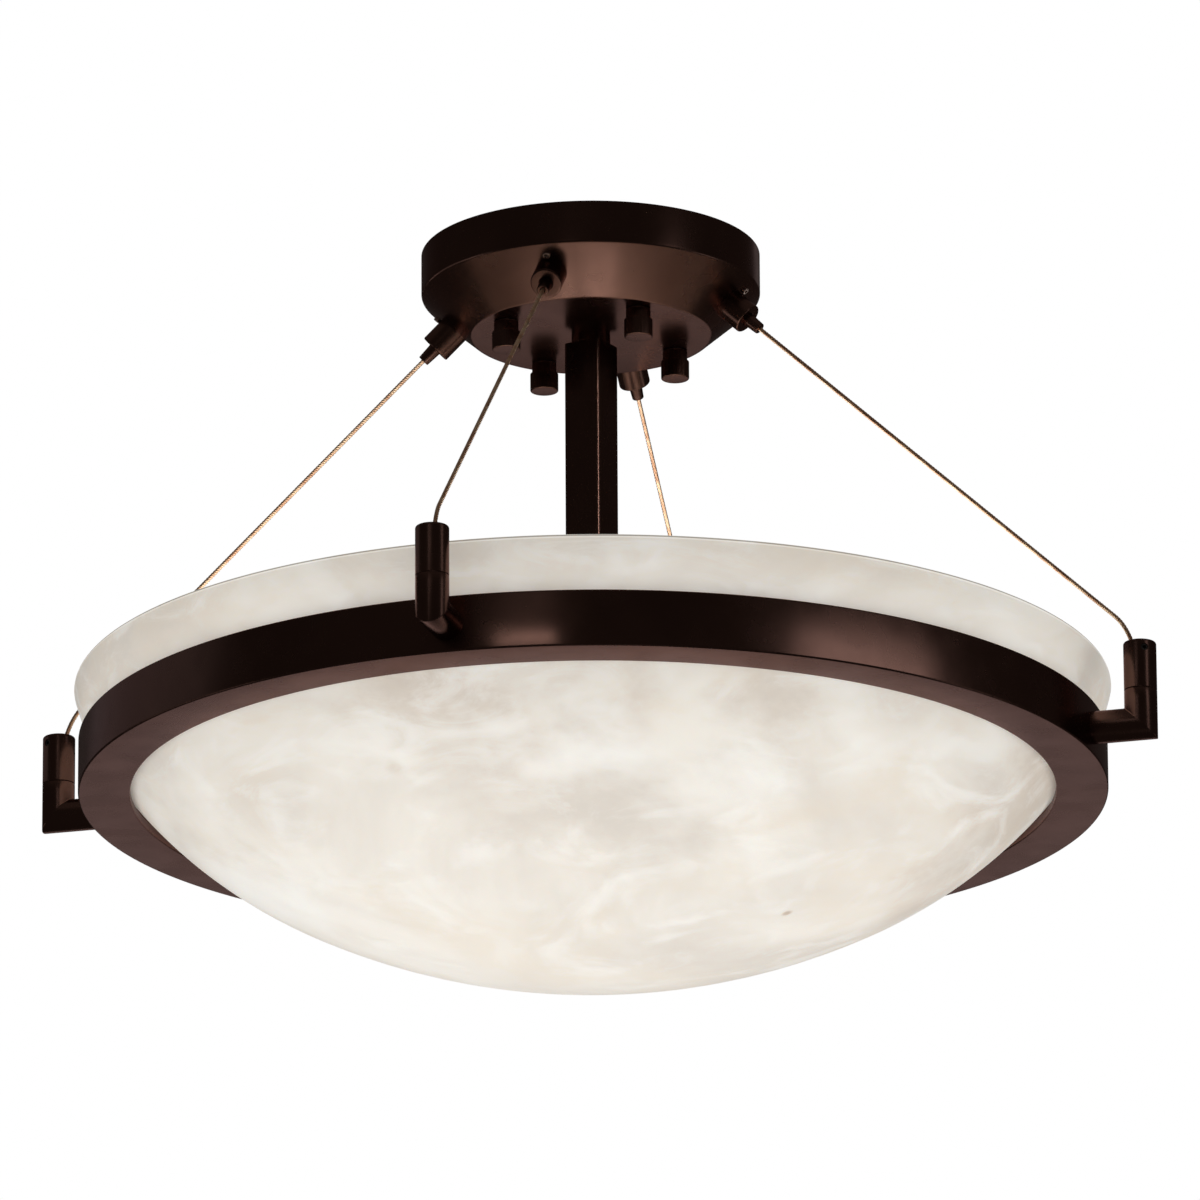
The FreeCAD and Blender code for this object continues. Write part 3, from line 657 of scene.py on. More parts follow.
    def lit(self, bench: FinishBench, stone: bpy.types.NodeSocket) -> bpy.types.NodeSocket:
        """Gives the stone a painted glow that stands in for the lamps' light and evens out the
        shade: even outside, and only near the middle inside.

        Args:
            bench: The finish's nodes.
            stone: The stone's own colour.

        Returns:
            The glow's colour.
        """
        facing = bench.add("ShaderNodeSeparateXYZ")
        bench.join(bench.add("ShaderNodeNewGeometry").outputs["Normal"], facing.inputs["Vector"])
        curve = bench.add("ShaderNodeFloatCurve")
        slope = bench.spread(facing.outputs["Z"], (-1.0, 1.0), (0.0, 1.0), "LINEAR")
        bench.join(slope, curve.inputs["Value"])
        line = curve.mapping.curves[0]
        for i, (slope_there, glow) in enumerate(self.glow_by_slope):
            spot = ((slope_there + 1) / 2, glow)
            if i in (0, len(self.glow_by_slope) - 1):
                line.points[0 if i == 0 else -1].location = spot
            else:
                line.points.new(*spot)
        curve.mapping.update()
        return bench.blend(curve.outputs["Value"], (0.0, 0.0, 0.0), stone)


@dataclass(frozen=True)
class BareMetal:
    """A plated or turned metal with fine tool marks and small changes of tone."""

    name: str
    colour: Colour
    shade: Colour
    roughness: float = 0.3
    drift: Grain = Grain(140.0, 4.0, 0.3)
    breath: Grain = Grain(400.0, low=0.3, high=0.7)
    marks: Grain = Grain(2600.0, 1.0, stretch=(1.0, 1.0, 0.25))
    mark_depth: float = 0.000004

    def material(self) -> bpy.types.Material:
        """Builds the finish.

        Returns:
            The material.
        """
        bench = FinishBench(self.name)
        bench.mottle(self.drift, self.shade, self.colour)
        bench.haze(self.breath, self.roughness - 0.04, self.roughness + 0.05)
        bench.bump(self.marks, self.mark_depth)
        bench.set(Metallic=1.0)
        return bench.material


@dataclass(frozen=True)
class Moulded:
    """Moulded phenolic of the lamp holders: near black, with a faint grain."""

    name: str = "moulded_holder"
    colour: Colour = (0.018, 0.016, 0.015)
    shade: Colour = (0.030, 0.026, 0.024)

    def material(self) -> bpy.types.Material:
        """Builds the finish.

        Returns:
            The material.
        """
        bench = FinishBench(self.name)
        bench.mottle(Grain(300.0, 4.0), self.colour, self.shade)
        bench.bump(Grain(1800.0, 2.0), 0.00001)
        bench.set(Roughness=0.42, Specular_IOR_Level=0.5)
        return bench.material


@dataclass(frozen=True)
class FrostedGlass:
    """The lamps' white coated glass."""

    name: str = "frosted_lamp"
    colour: Colour = (0.90, 0.90, 0.88)
    shade: Colour = (0.84, 0.84, 0.82)
    glow: float = 0.55

    def material(self) -> bpy.types.Material:
        """Builds the finish.

        Returns:
            The material.
        """
        bench = FinishBench(self.name)
        bench.mottle(Grain(40.0), self.shade, self.colour)
        bench.bump(Grain(1200.0, 2.0), 0.000004)
        bench.set(Roughness=0.32, Subsurface_Weight=0.3, Subsurface_Scale=0.004)
        bench.set(Subsurface_Radius=(1.0, 1.0, 1.0), Coat_Weight=0.3, Coat_Roughness=0.1)
        bench.set(Emission_Color=(1.0, 0.93, 0.82, 1.0), Emission_Strength=self.glow)
        return bench.material


@dataclass(frozen=True)
class FloorPaper:
    """The studio's pale floor."""

    name: str = "pale_floor"
    colour: Colour = (0.82, 0.81, 0.80)
    darker: float = 0.985
    glow: float = 0.85

    def material(self) -> bpy.types.Material:
        """Builds the finish.

        Returns:
            The material.
        """
        bench = FinishBench(self.name)
        tone = bench.noise(Grain(0.8, 2.0)).outputs["Fac"]
        paper = bench.blend(tone, self.colour, tuple(c * self.darker for c in self.colour))
        bench.join(paper, bench.shader.inputs["Base Color"])
        bench.join(paper, bench.shader.inputs["Emission Color"])
        bench.set(Roughness=0.9, Emission_Strength=self.glow)
        return bench.material


@dataclass
class Finishes:
    """Every finish of the light, built once."""

    def __post_init__(self) -> None:
        """Builds the materials."""
        self.bronze = PaintedBronze().material()
        self.bowl = CloudyStone().material()
        self.rope = self.metal("wire_rope", (0.98, 0.75, 0.53), (0.74, 0.45, 0.29), 0.34)
        self.worn_bronze = self.metal("worn_bronze", (0.60, 0.46, 0.41), (0.46, 0.34, 0.29), 0.24)
        self.zinc = self.metal("zinc_plate", (0.62, 0.62, 0.60), (0.50, 0.50, 0.49), 0.34)
        self.dark_steel = self.metal(
            "black_oxide", (0.055, 0.050, 0.047), (0.035, 0.032, 0.030), 0.38
        )
        self.earth = self.metal("green_screw", (0.05, 0.30, 0.12), (0.04, 0.22, 0.09), 0.36)
        self.brass = self.metal("brass", (0.78, 0.56, 0.25), (0.64, 0.44, 0.19), 0.26)
        self.shell = self.metal("lamp_shell", (0.76, 0.75, 0.72), (0.64, 0.63, 0.60), 0.24)
        self.holder = Moulded().material()
        self.glass = FrostedGlass().material()

    def metal(
        self, name: str, colour: Colour, shade: Colour, roughness: float
    ) -> bpy.types.Material:
        """Builds a bare metal: its name, its two tones and its roughness."""
        return BareMetal(name, colour, shade, roughness).material()

    def by_slot(self) -> dict[str, bpy.types.Material]:
        """Gives the finish of each of the record's slots.

        Returns:
            Each slot's name with its finish.
        """
        return {
            Slot.BRONZE.value: self.bronze,
            Slot.ZINC.value: self.zinc,
            Slot.DARK_STEEL.value: self.dark_steel,
            Slot.EARTH_SCREW.value: self.earth,
            Slot.CABLE.value: self.rope,
            Slot.BOWL.value: self.bowl,
            Slot.BRASS.value: self.brass,
            Slot.HOLDER.value: self.holder,
            Slot.SHELL.value: self.shell,
            Slot.GLASS.value: self.glass,
        }


# ------------------------------------------------------------------------------------ pieces


@dataclass
class Canopy:
    """The spun cup against the ceiling, with its round neck and the thumb nuts under it."""

    radius: float = 76.2
    side_height: float = 19.05
    height: float = 38.1
    flat_radius: float = 54.0
    wall: float = 1.5
    edge: float = 2.0
    neck_radius: float = 8.7
    neck_height: float = 4.3
    neck_spigot: float = 7.4
    neck_spigot_height: float = 3.0
    stem_hole: float = 4.9
    mouth_rounding: float = 0.35
    nut_circle: float = 43.4
    nut_length: float = 13.4
    nut_neck_radius: float = 5.5
    nut_neck_length: float = 4.9
    nut_head_radius: float = 6.35
    nut_gap: float = 0.3
    nut_bore: float = 2.15
    nut_bore_end: float = 11.0
    nut_ribs: int = 48
    nut_rib_depth: float = 0.09
    faces_per_rib: int = 5

    def shell(self) -> bpy.types.Object:
        """Makes the cup, with the rim that the spinning lathe leaves.

        Returns:
            The cup.
        """
        slope = Vector((self.radius - self.flat_radius, self.height - self.side_height))
        lean = slope.angle(Vector((0.0, 1.0)))
        inner_turn = self.wall * math.tan(lean / 2)
        flat_turn = self.wall * math.tan((math.pi / 2 - lean) / 2)
        outline = rounded((
            (self.stem_hole, -self.height),
            (self.flat_radius, -self.height, self.edge),
            (self.radius, -self.side_height, self.edge),
            (self.radius, 0.0, self.mouth_rounding),
            (self.radius - self.wall, 0.0, self.mouth_rounding),
            (self.radius - self.wall, -self.side_height + inner_turn, self.edge - self.wall),
            (self.flat_radius - flat_turn, -self.height + self.wall, self.edge - self.wall),
            (self.stem_hole, -self.height + self.wall),
        ), step=6.0)
        return turned_object("canopy_shell", outline, 256)

    def neck(self) -> bpy.types.Object:
        """Makes the round collar between the canopy and the post.

        Returns:
            The collar.
        """
        top = -self.height
        foot = top - self.neck_height
        spigot_foot = foot - self.neck_spigot_height
        outline = rounded((
            (self.stem_hole, top),
            (self.neck_radius, top),
            (self.neck_radius, foot, 0.4),
            (self.neck_spigot, foot),
            (self.neck_spigot, spigot_foot),
            (self.stem_hole, spigot_foot),
        ))
        return turned_object("post_neck", outline, 96)

    def thumb_nut(self, index: int) -> bpy.types.Object:
        """Makes one nut with fine straight ribs round its neck and head.

        Args:
            index: 0 to 3, counted from +X and +Y round the axis.

        Returns:
            The nut.
        """
        outline = rounded((
            (self.nut_bore, -self.nut_gap),
            (self.nut_neck_radius, -self.nut_gap, 0.25),
            (self.nut_neck_radius, -self.nut_neck_length, 0.3),
            (self.nut_head_radius, -self.nut_neck_length, 0.45),
            (self.nut_head_radius, -self.nut_length, 0.7),
            (0.0, -self.nut_length),
            (0.0, -self.nut_bore_end),
            (self.nut_bore, -self.nut_bore_end),
        ))
        full = {self.nut_neck_radius, self.nut_head_radius}

        def ribs(r: float, z: float, angle: float) -> float:
            """Gives the ribbed radius; only the straight sides have ribs.

            Args:
                r: The plain radius there.
                z: The height there; not used.
                angle: The turn about the nut's axis.

            Returns:
                The radius with its rib.
            """
            if not any(abs(r - f) < 0.02 for f in full):
                return r
            return r - self.nut_rib_depth * (0.5 - 0.5 * math.cos(self.nut_ribs * angle)) ** 2

        turn = Matrix.Rotation(math.radians(45 + 90 * index), 4, "Z")
        place = Matrix.Translation(turn @ Vector((self.nut_circle, 0, -self.height)))
        mesh = bmesh.new()
        add_turned(mesh, outline, self.nut_ribs * self.faces_per_rib, place=place, relief=ribs)
        return finished_object(f"thumb_nut_turned_{index + 1}", mesh, 40.0)

    def build(self, finishes: Finishes) -> None:
        """Builds and dresses the cup, the neck and the nuts.

        Args:
            finishes: The light's finishes.
        """
        dress(self.shell(), finishes.bronze, "fixture", ["canopy"])
        dress(self.neck(), finishes.bronze, "fixture", ["stem_neck"])
        for i in range(4):
            node = f"thumb_nut_{i + 1}"
            dress(self.thumb_nut(i), finishes.bronze, node, [node])


@dataclass
class Grippers:
    """The four cable grippers on the canopy's shoulder, each with its release plunger."""

    seat: Point = (64.5465, -29.05)
    aim: Point = (0.7323146, -0.6809665)
    cone_radius: float = 76.2
    cone_top: float = -19.05
    cone_slope: float = 22.2 / 19.05
    radius: float = 7.05
    length: float = 11.8
    edge: float = 0.7
    sides: int = 96
    mouth_depth: float = 3.0
    mouth_room: float = 0.08
    shank_radius: float = 4.75
    shank_length: float = 12.0
    thread_pitch: float = 1.25
    thread_depth: float = 0.3
    shank_bevel: float = 0.5
    plunger_radius: float = 3.05
    plunger_tip: float = 2.6
    plunger_reach: float = 7.5
    plunger_depth: float = 8.0
    cable_bore: float = 1.3
    screw_up_slope: float = 9.3
    screw_radius: float = 1.7
    screw_height: float = 1.3
    screw_socket: float = 0.75

    @property
    def place(self) -> Matrix:
        """The place of a gripper's own axis at the right corner."""
        aim, seat = (Vector((r, 0.0, z)) for r, z in (self.aim, self.seat))
        return along(aim, seat)

    def foot(self, radius: float, angle: float) -> float:
        """Finds how far along the axis a line of the body's side meets the canopy's shoulder.

        Args:
            radius: The line's distance from the body's axis.
            angle: The line's place round the axis.

        Returns:
            The distance from the seat, in millimetres.
        """
        low, high = -8.0, 8.0
        for _ in range(40):
            middle = (low + high) / 2
            spot = self.place @ Vector((radius * math.cos(angle), radius * math.sin(angle), middle))
            cone = self.cone_radius + (spot.z - self.cone_top) * self.cone_slope
            outside = math.hypot(spot.x, spot.y) > cone
            low, high = (low, middle) if outside else (middle, high)
        return (low + high) / 2

    def body(self, corner: Corner) -> bpy.types.Object:
        """Makes a body whose inner end follows the shoulder, with its threaded shank.

        Args:
            corner: The corner that the gripper points at.

        Returns:
            The body.
        """
        mouth = self.plunger_radius + self.mouth_room
        end = rounded((
            (self.radius, 0.0),
            (self.radius, self.length, self.edge),
            (mouth, self.length, 0.3),
            (mouth, self.length - self.mouth_depth),
        ), closed=False, step=9.0)[1:]
        rim = circle(self.radius, self.sides)
        feet = [self.foot(self.radius, 2 * math.pi * k / self.sides) for k in range(self.sides)]
        side_end = self.length - self.edge - 0.4
        rows = [
            [Vector((x, y, foot + (side_end - foot) * share)) for (x, y), foot in zip(rim, feet)]
            for share in (0.0, 0.04, 1.0)
        ]
        for r, z in end:
            rows.append([Vector((x, y, z)) for x, y in circle(r, self.sides)])
        whole = corner.turn @ self.place
        mesh = bmesh.new()
        add_rows(mesh, [[whole @ p for p in row] for row in rows])
        add_turned(mesh, self.thread(), 48, place=whole)
        return finished_object(f"gripper_{corner.label}", mesh)

    def thread(self) -> list[Point]:
        """Draws the shank's outline, with its thread as small ridges.

        Returns:
            The points (r, z) from the seat inwards.
        """
        outline: list[Point] = [(self.cable_bore, 0.0), (self.shank_radius, 0.0)]
        z = -self.thread_pitch
        while z > -self.shank_length + self.thread_pitch:
            outline.append((self.shank_radius, z))
            outline.append((self.shank_radius - self.thread_depth, z - self.thread_pitch / 2))
            z -= self.thread_pitch
        outline.append((self.shank_radius - self.shank_bevel, -self.shank_length))
        outline.append((self.cable_bore, -self.shank_length))
        return outline

    def plunger(self, corner: Corner) -> bpy.types.Object:
        """Makes the tapered plunger that the cable comes out of.

        Args:
            corner: The corner that the gripper points at.

        Returns:
            The plunger.
        """
        outline = rounded((
            (self.cable_bore, self.length - self.plunger_depth),
            (self.plunger_radius, self.length - self.plunger_depth, 0.3),
            (self.plunger_radius, self.length),
            (self.plunger_tip, self.length + self.plunger_reach, 0.45),
            (self.cable_bore, self.length + self.plunger_reach, 0.3),
        ))
        mesh = bmesh.new()
        add_turned(mesh, outline, 64, place=corner.turn @ self.place)
        return finished_object(f"plunger_{corner.label}_turned", mesh)

    def screw(self, corner: Corner) -> bpy.types.Object:
        """Makes the small round screw on the shoulder above a gripper.

        Args:
            corner: The corner that the gripper points at.

        Returns:
            The screw.
        """
        slope = Vector((self.cone_slope, 0.0, 1.0)).normalized()
        out = Vector((1.0, 0.0, -self.cone_slope)).normalized()
        spot = Vector((self.seat[0], 0.0, self.seat[1])) + slope * self.screw_up_slope
        outline = rounded((
            (0.0, -0.05),
            (self.screw_radius, -0.05),
            (self.screw_radius, self.screw_height, 0.5),
            (self.screw_socket, self.screw_height, 0.1),
            (self.screw_socket, self.screw_height * 0.3),
            (0.0, self.screw_height * 0.15),
        ), closed=False)
        mesh = bmesh.new()
        add_turned(mesh, outline, 48, closed=False, place=corner.turn @ along(out, spot))
        return finished_object(f"shoulder_screw_{corner.label}", mesh)

    def build(self, finishes: Finishes) -> None:
        """Builds and dresses the bodies, plungers and screws.

        Args:
            finishes: The light's finishes.
        """
        bronze = finishes.bronze
        for corner in Corner:
            label = corner.label
            body, plunger = f"gripper_body_{label}", f"gripper_plunger_{label}"
            dress(self.body(corner), bronze, "fixture", [body])
            dress(self.plunger(corner), bronze, f"plunger_{label}", [plunger])
            dress(self.screw(corner), finishes.worn_bronze, "fixture")


@dataclass
class Cables:
    """The four wire ropes, each six strands laid round a core."""

    start: Point = (51.365, -16.793)
    before_corner: Point = (228.031, -181.071)
    corner: Point = (250.0, -201.5)
    end: Point = (250.0, -231.5)
    diameter: float = 2.0
    length: float = 299.7
    strands: int = 6
    strand_radius: float = 0.335
    lay: float = 9.0
    sides: int = 7
    samples_per_lay: int = 12

    def route(self, corner: Corner) -> list[Vector]:
        """Reads the points that the rope follows from its smooth line, in metres.

        Args:
            corner: The corner that the cable runs to.

        Returns:
            Points along the line, from the canopy to the cap.
        """
        line = bpy.data.curves.new(f"route_{corner.label}", "CURVE")
        line.dimensions = "3D"
        line.resolution_u = 90
        spline = line.splines.new("NURBS")
        controls = (self.start, self.before_corner, self.corner, self.end)
        spline.points.add(len(controls) - 1)
        for point, (r, z) in zip(spline.points, controls):
            point.co = (*(corner.turn @ Vector((r * MM, 0.0, z * MM))), 1.0)
        spline.order_u = 3
        spline.use_endpoint_u = True
        holder = bpy.data.objects.new(f"route_{corner.label}", line)
        bpy.context.scene.collection.objects.link(holder)
        bpy.context.view_layer.update()
        seen = holder.evaluated_get(bpy.context.evaluated_depsgraph_get())
        data = bpy.data.meshes.new_from_object(seen)
        points = [v.co.copy() for v in data.vertices]
        bpy.data.meshes.remove(data)
        bpy.data.objects.remove(holder)
        bpy.data.curves.remove(line)
        return points

    def even(self, points: Sequence[Vector]) -> list[Vector]:
        """Spreads the line's points evenly, a few to each turn of the lay.

        Args:
            points: The line's own points.

        Returns:
            Evenly spaced points on the line.
        """
        reach = [0.0]
        for a, b in zip(points, points[1:]):
            reach.append(reach[-1] + (b - a).length)
        count = round(reach[-1] / (self.lay * MM) * self.samples_per_lay)
        spread, i = [], 0
        for k in range(count + 1):
            want = reach[-1] * k / count
            while i < len(points) - 2 and reach[i + 1] < want:
                i += 1
            share = (want - reach[i]) / (reach[i + 1] - reach[i])
            spread.append(points[i].lerp(points[i + 1], share))
        return spread

    def rope(self, corner: Corner, points: Sequence[Vector]) -> bpy.types.Object:
        """Makes the strands and the core along a line.

        Args:
            corner: The corner that the cable runs to.
            points: Evenly spaced points on the line, in metres.

        Returns:
            The rope.
        """
        tangents = [(b - a).normalized() for a, b in zip(points, points[1:])]
        tangents.append(tangents[-1])
        side = corner.turn.to_3x3() @ Vector((0.0, 1.0, 0.0))
        offset = (self.diameter / 2 - self.strand_radius) * MM
        mesh = bmesh.new()
        for strand in range(self.strands + 1):
            rings = []
            for k, (spot, tangent) in enumerate(zip(points, tangents)):
                other = tangent.cross(side)
                turn = 2 * math.pi * (strand / self.strands + k / self.samples_per_lay)
                away = side * math.cos(turn) + other * math.sin(turn)
                across = tangent.cross(away)
                core = strand == self.strands
                middle = spot if core else spot + away * offset
                lean = math.atan2(2 * math.pi * offset, self.lay * MM)
                width = across if core else across * math.cos(lean) - tangent * math.sin(lean)
                rings.append([
                    middle + (away * x + width * y) * self.strand_radius * MM
                    for x, y in circle(1.0, self.sides)
                ])
            add_rows(mesh, rings, unit=1.0)
        return finished_object(f"wire_rope_{corner.label}", mesh, 70.0)

    def build(self, finishes: Finishes) -> None:
        """Args:
            finishes: The light's finishes.
        """
        for corner in Corner:
            points = self.route(corner)
            rope = self.rope(corner, self.even(points))
            dress(rope, finishes.rope, "fixture", [f"cable_{corner.label}"])


@dataclass
class Corners:
    """The mitred elbow at each corner of the ring and the cap that stands on it."""

    axis: float = 250.0
    arm_z: float = -241.7
    joint_z: float = -226.7
    cap_top: float = -204.4
    radius: float = 7.3
    ring_radius: float = 228.6
    joint_bevel: float = 0.35
    upright_end: float = 5.0
    mitre_bend: float = 0.45
    mitre_steps: int = 6
    arm_start: float = 12.0
    cap_edge: float = 1.3
    mouth_radius: float = 3.5
    mouth_depth: float = 11.0
    cable_bore: float = 1.4
    spigot_radius: float = 5.0
    spigot_room: float = 0.05
    spigot_reach: float = 6.0
    spigot_hole_depth: float = 4.0
    stop_hole: float = 2.95
    stop_top: float = 5.0
    screw_drop: float = 4.0
    screw_hole: float = 1.6
    sides: int = 96
    screw_turns: tuple[float, ...] = (150.0, -60.0, -120.0, 60.0)

    def elbow(self, corner: Corner) -> bpy.types.Object:
        """Makes the two round bars that meet at the mitre.

        Args:
            corner: The ring's corner.

        Returns:
            The elbow.
        """
        bore = self.spigot_radius + self.spigot_room
        bevel = self.joint_bevel
        top = (
            (bore, self.joint_z - self.spigot_hole_depth),
            (bore, self.joint_z),
            (self.radius - bevel, self.joint_z),
            (self.radius - bevel * 0.3, self.joint_z - bevel * 0.3),
            (self.radius, self.joint_z - bevel),
        )
        rows = [
            [Vector((self.axis + x, y, z)) for x, y in circle(r, self.sides)] for r, z in top
        ]
        across = circle(self.radius, self.sides)
        low_z = self.joint_z - self.upright_end
        rows.append([Vector((self.axis + x, y, low_z)) for x, y in across])
        bend = self.mitre_bend
        for step in range(self.mitre_steps + 1):
            t = math.pi / 2 * step / self.mitre_steps
            back, up = bend * (1 - math.cos(t)), bend * (1 - math.sin(t))
            rows.append([Vector((self.axis + x - back, y, self.arm_z - x + up)) for x, y in across])
        rows.append([Vector((self.axis - self.arm_start, y, self.arm_z - x)) for x, y in across])
        wall = [math.sqrt(self.ring_radius ** 2 - y * y) for _, y in across]
        rows.append([Vector((r, y, self.arm_z - x)) for r, (x, y) in zip(wall, across)])
        mesh = bmesh.new()
        add_rows(mesh, [[corner.turn @ p for p in row] for row in rows])
        return finished_object(f"elbow_mitred_{corner.label}", mesh)

    def cap(self, corner: Corner, turn: float) -> bpy.types.Object:
        """Makes the cap with its flared mouth and the hole of its set screw.

        Args:
            corner: The ring's corner.
            turn: The set screw's turn about the cap's axis, from outwards, in degrees.

        Returns:
            The cap.
        """
        height = self.cap_top - self.joint_z
        bevel = self.joint_bevel
        outline = rounded((
            (self.stop_hole, -self.spigot_reach),
            (self.spigot_radius, -self.spigot_reach),
            (self.spigot_radius, 0.0),
            (self.radius - bevel, 0.0, 0.1),
            (self.radius, bevel, 0.1),
            (self.radius, height, self.cap_edge),
            (self.mouth_radius, height, 0.35),
            (self.cable_bore, height - self.mouth_depth),
            (self.cable_bore, self.stop_top),
            (self.stop_hole, self.stop_top),
        ))
        axis = corner.turn @ Vector((self.axis, 0.0, self.joint_z))
        mesh = bmesh.new()
        add_turned(mesh, outline, self.sides, place=Matrix.Translation(axis) @ corner.turn)
        cap = finished_object(f"cap_{corner.label}_turned", mesh)
        aim = corner.turn @ Matrix.Rotation(math.radians(turn), 4, "Z") @ Vector((1.0, 0.0, 0.0))
        start = axis + Vector((0.0, 0.0, height - self.screw_drop)) + aim * 2.0
        drill = ((0.0, 0.0), (self.screw_hole, 0.0), (self.screw_hole, 9.0), (0.0, 9.0))
        hole = bmesh.new()
        add_turned(hole, drill, 32, closed=False, place=along(aim, start))
        bored(cap, finished_object("cap_hole", hole))
        return cap

    def build(self, finishes: Finishes) -> None:
        """Builds and dresses the elbows and the caps.

        Args:
            finishes: The light's finishes.
        """
        bronze = finishes.bronze
        for corner, turn in zip(Corner, self.screw_turns):
            elbow, cap = f"elbow_{corner.label}", f"cable_cap_{corner.label}"
            dress(self.elbow(corner), bronze, "fixture", [elbow])
            dress(self.cap(corner, turn), bronze, "fixture", [cap])


@dataclass
class Ring:
    """The ring: an upright band with a flat flange inwards along its foot."""

    radius: float = 228.6
    wall: float = 2.5
    height: float = 25.0
    bottom: float = -254.0
    flange_width: float = 23.2
    flange_thickness: float = 4.0
    edge: float = 0.8

    def build(self, finishes: Finishes) -> None:
        """Builds and dresses the ring.

        Args:
            finishes: The light's finishes.
        """
        inner = self.radius - self.flange_width
        wall_inner = self.radius - self.wall
        top = self.bottom + self.height
        flange_top = self.bottom + self.flange_thickness
        outline = rounded((
            (inner, self.bottom, self.edge),
            (self.radius, self.bottom, self.edge),
            (self.radius, top, self.edge),
            (wall_inner, top, self.edge),
            (wall_inner, flange_top, self.edge),
            (inner, flange_top, self.edge),
        ), step=10.0)
        ring = turned_object("ring_band", outline, 384)
        dress(ring, finishes.bronze, "fixture", ["ring"])


@dataclass
class Bowl:
    """The cloudy bowl: a chain of tangent arcs, a straight lip and a rounded rim."""

    rim_radius: float = 230.9
    wall: float = 4.0
    arcs: tuple[Point, ...] = ((0.0, 27.5), (208.0, 55.5), (77.0, 75.5))
    lip: float = 2.0
    rim_rounding: float = 1.4
    seat_radius: float = 204.95
    seat_z: float = -250.0
    step: float = 1.5

    def base_radius(self) -> float:
        """Finds the base arc's radius, so that the rim comes out at its own radius.

        Returns:
            The radius in millimetres.
        """
        angles = [math.radians(angle) for _, angle in self.arcs]
        beyond = self.lip * math.cos(angles[2])
        beyond += self.arcs[1][0] * (math.sin(angles[1]) - math.sin(angles[0]))
        beyond += self.arcs[2][0] * (math.sin(angles[2]) - math.sin(angles[1]))
        return (self.rim_radius - beyond) / math.sin(angles[0])

    def side(self, inset: float) -> tuple[list[Point], float]:
        """Draws one side of the wall, from the bottom to the rim.

        Args:
            inset: How far it lies inside the outer side.

        Returns:
            The points (r, z) with the bowl's bottom at 0, and the bottom's height.
        """
        radii = [self.base_radius(), self.arcs[1][0], self.arcs[2][0]]
        ends = [math.radians(angle) for _, angle in self.arcs]
        centre = Vector((0.0, radii[0]))
        points: list[Point] = []
        begin = 0.0
        seat = 0.0
        for i, (radius, finish) in enumerate(zip(radii, ends)):
            if i:
                way = Vector((math.sin(begin), -math.cos(begin)))
                centre = centre + way * (radii[i - 1] - radius)
            if i == 1:
                reach = self.seat_radius - centre.x
                seat = centre.y - math.sqrt(radius ** 2 - reach ** 2)
            count = max(2, round(math.degrees(finish - begin) / self.step))
            for k in range(0 if i == 0 else 1, count + 1):
                angle = begin + (finish - begin) * k / count
                spot = centre + Vector((math.sin(angle), -math.cos(angle))) * (radius - inset)
                points.append((max(spot.x, 0.0), spot.y))
            begin = finish
        last = points[-1]
        points.append((last[0] + self.lip * math.cos(begin), last[1] + self.lip * math.sin(begin)))
        return points, self.seat_z - seat

    def build(self, finishes: Finishes) -> None:
        """Builds and dresses the bowl.

        Args:
            finishes: The light's finishes.
        """
        outer, bottom = self.side(0.0)
        inner, _ = self.side(self.wall)
        corners: list[tuple[float, ...]] = [(r, z + bottom) for r, z in outer]
        corners[-1] = (*corners[-1], self.rim_rounding)
        back: list[tuple[float, ...]] = [(r, z + bottom) for r, z in reversed(inner)]
        back[0] = (*back[0], self.rim_rounding)
        outline = rounded(corners + back, closed=False, step=15.0)
        bowl = turned_object("bowl_cloudy", outline, 256, closed=False)
        dress(bowl, finishes.bowl, "bowl", ["bowl"])


@dataclass
class Post:
    """The square tube from the neck down to the lamp cluster."""

    side: float = 18.0
    wall: float = 1.5
    corner: float = 1.6
    inner_corner: float = 0.4
    twist: float = -14.2
    top: float = -42.4
    foot: float = -220.0
    bevel: float = 0.25

    def square(self, inset: float, z: float) -> list[Vector]:
        """Draws the tube's section.

        Args:
            inset: How far it lies inside the outer side.
            z: Its height.

        Returns:
            The section's points.
        """
        half = self.side / 2 - inset
        radius = max(self.corner - inset, self.inner_corner)
        turn = math.radians(self.twist)
        points = []
        for quarter in range(4):
            middle = math.pi / 4 + quarter * math.pi / 2
            reach = (half - radius) * math.sqrt(2)
            for k in range(11):
                angle = quarter * math.pi / 2 + math.pi / 2 * k / 10
                spot = Vector((reach * math.cos(middle), reach * math.sin(middle)))
                spot += Vector((math.cos(angle), math.sin(angle))) * radius
                points.append(Vector((
                    spot.x * math.cos(turn) - spot.y * math.sin(turn),
                    spot.x * math.sin(turn) + spot.y * math.cos(turn),
                    z,
                )))
        return points

    def build(self, finishes: Finishes) -> None:
        """Builds and dresses the tube.

        Args:
            finishes: The light's finishes.
        """
        mesh = bmesh.new()
        rows = [
            self.square(self.wall, self.foot),
            self.square(self.bevel, self.foot),
            self.square(0.0, self.foot + self.bevel),
            self.square(0.0, self.top - self.bevel),
            self.square(self.bevel, self.top),
            self.square(self.wall, self.top),
        ]
        add_rows(mesh, rows, looped=True)
        post = finished_object("post_square", mesh, 25.0)
        dress(post, finishes.bronze, "fixture", ["post_tube"])


@dataclass
class Fittings:
    """The frame's own pieces that keep their shape: plate, studs, nuts, drum, holders and lamps."""

    def build(self, finishes: Finishes) -> None:
        """Dresses every frame node that no new piece stands for.

        Args:
            finishes: The light's finishes.
        """
        by_slot = finishes.by_slot()
        parts = frame["record"]["subparts"]
        finish_of = {part["node"]: by_slot[part["material_slot"]] for part in parts}
        for name, node in frame["nodes"].items():
            if node.hide_render:
                continue
            node.data.materials.clear()
            node.data.materials.append(finish_of[name])
            log.info("%s: the frame's own piece, in %s", name, finish_of[name].name)


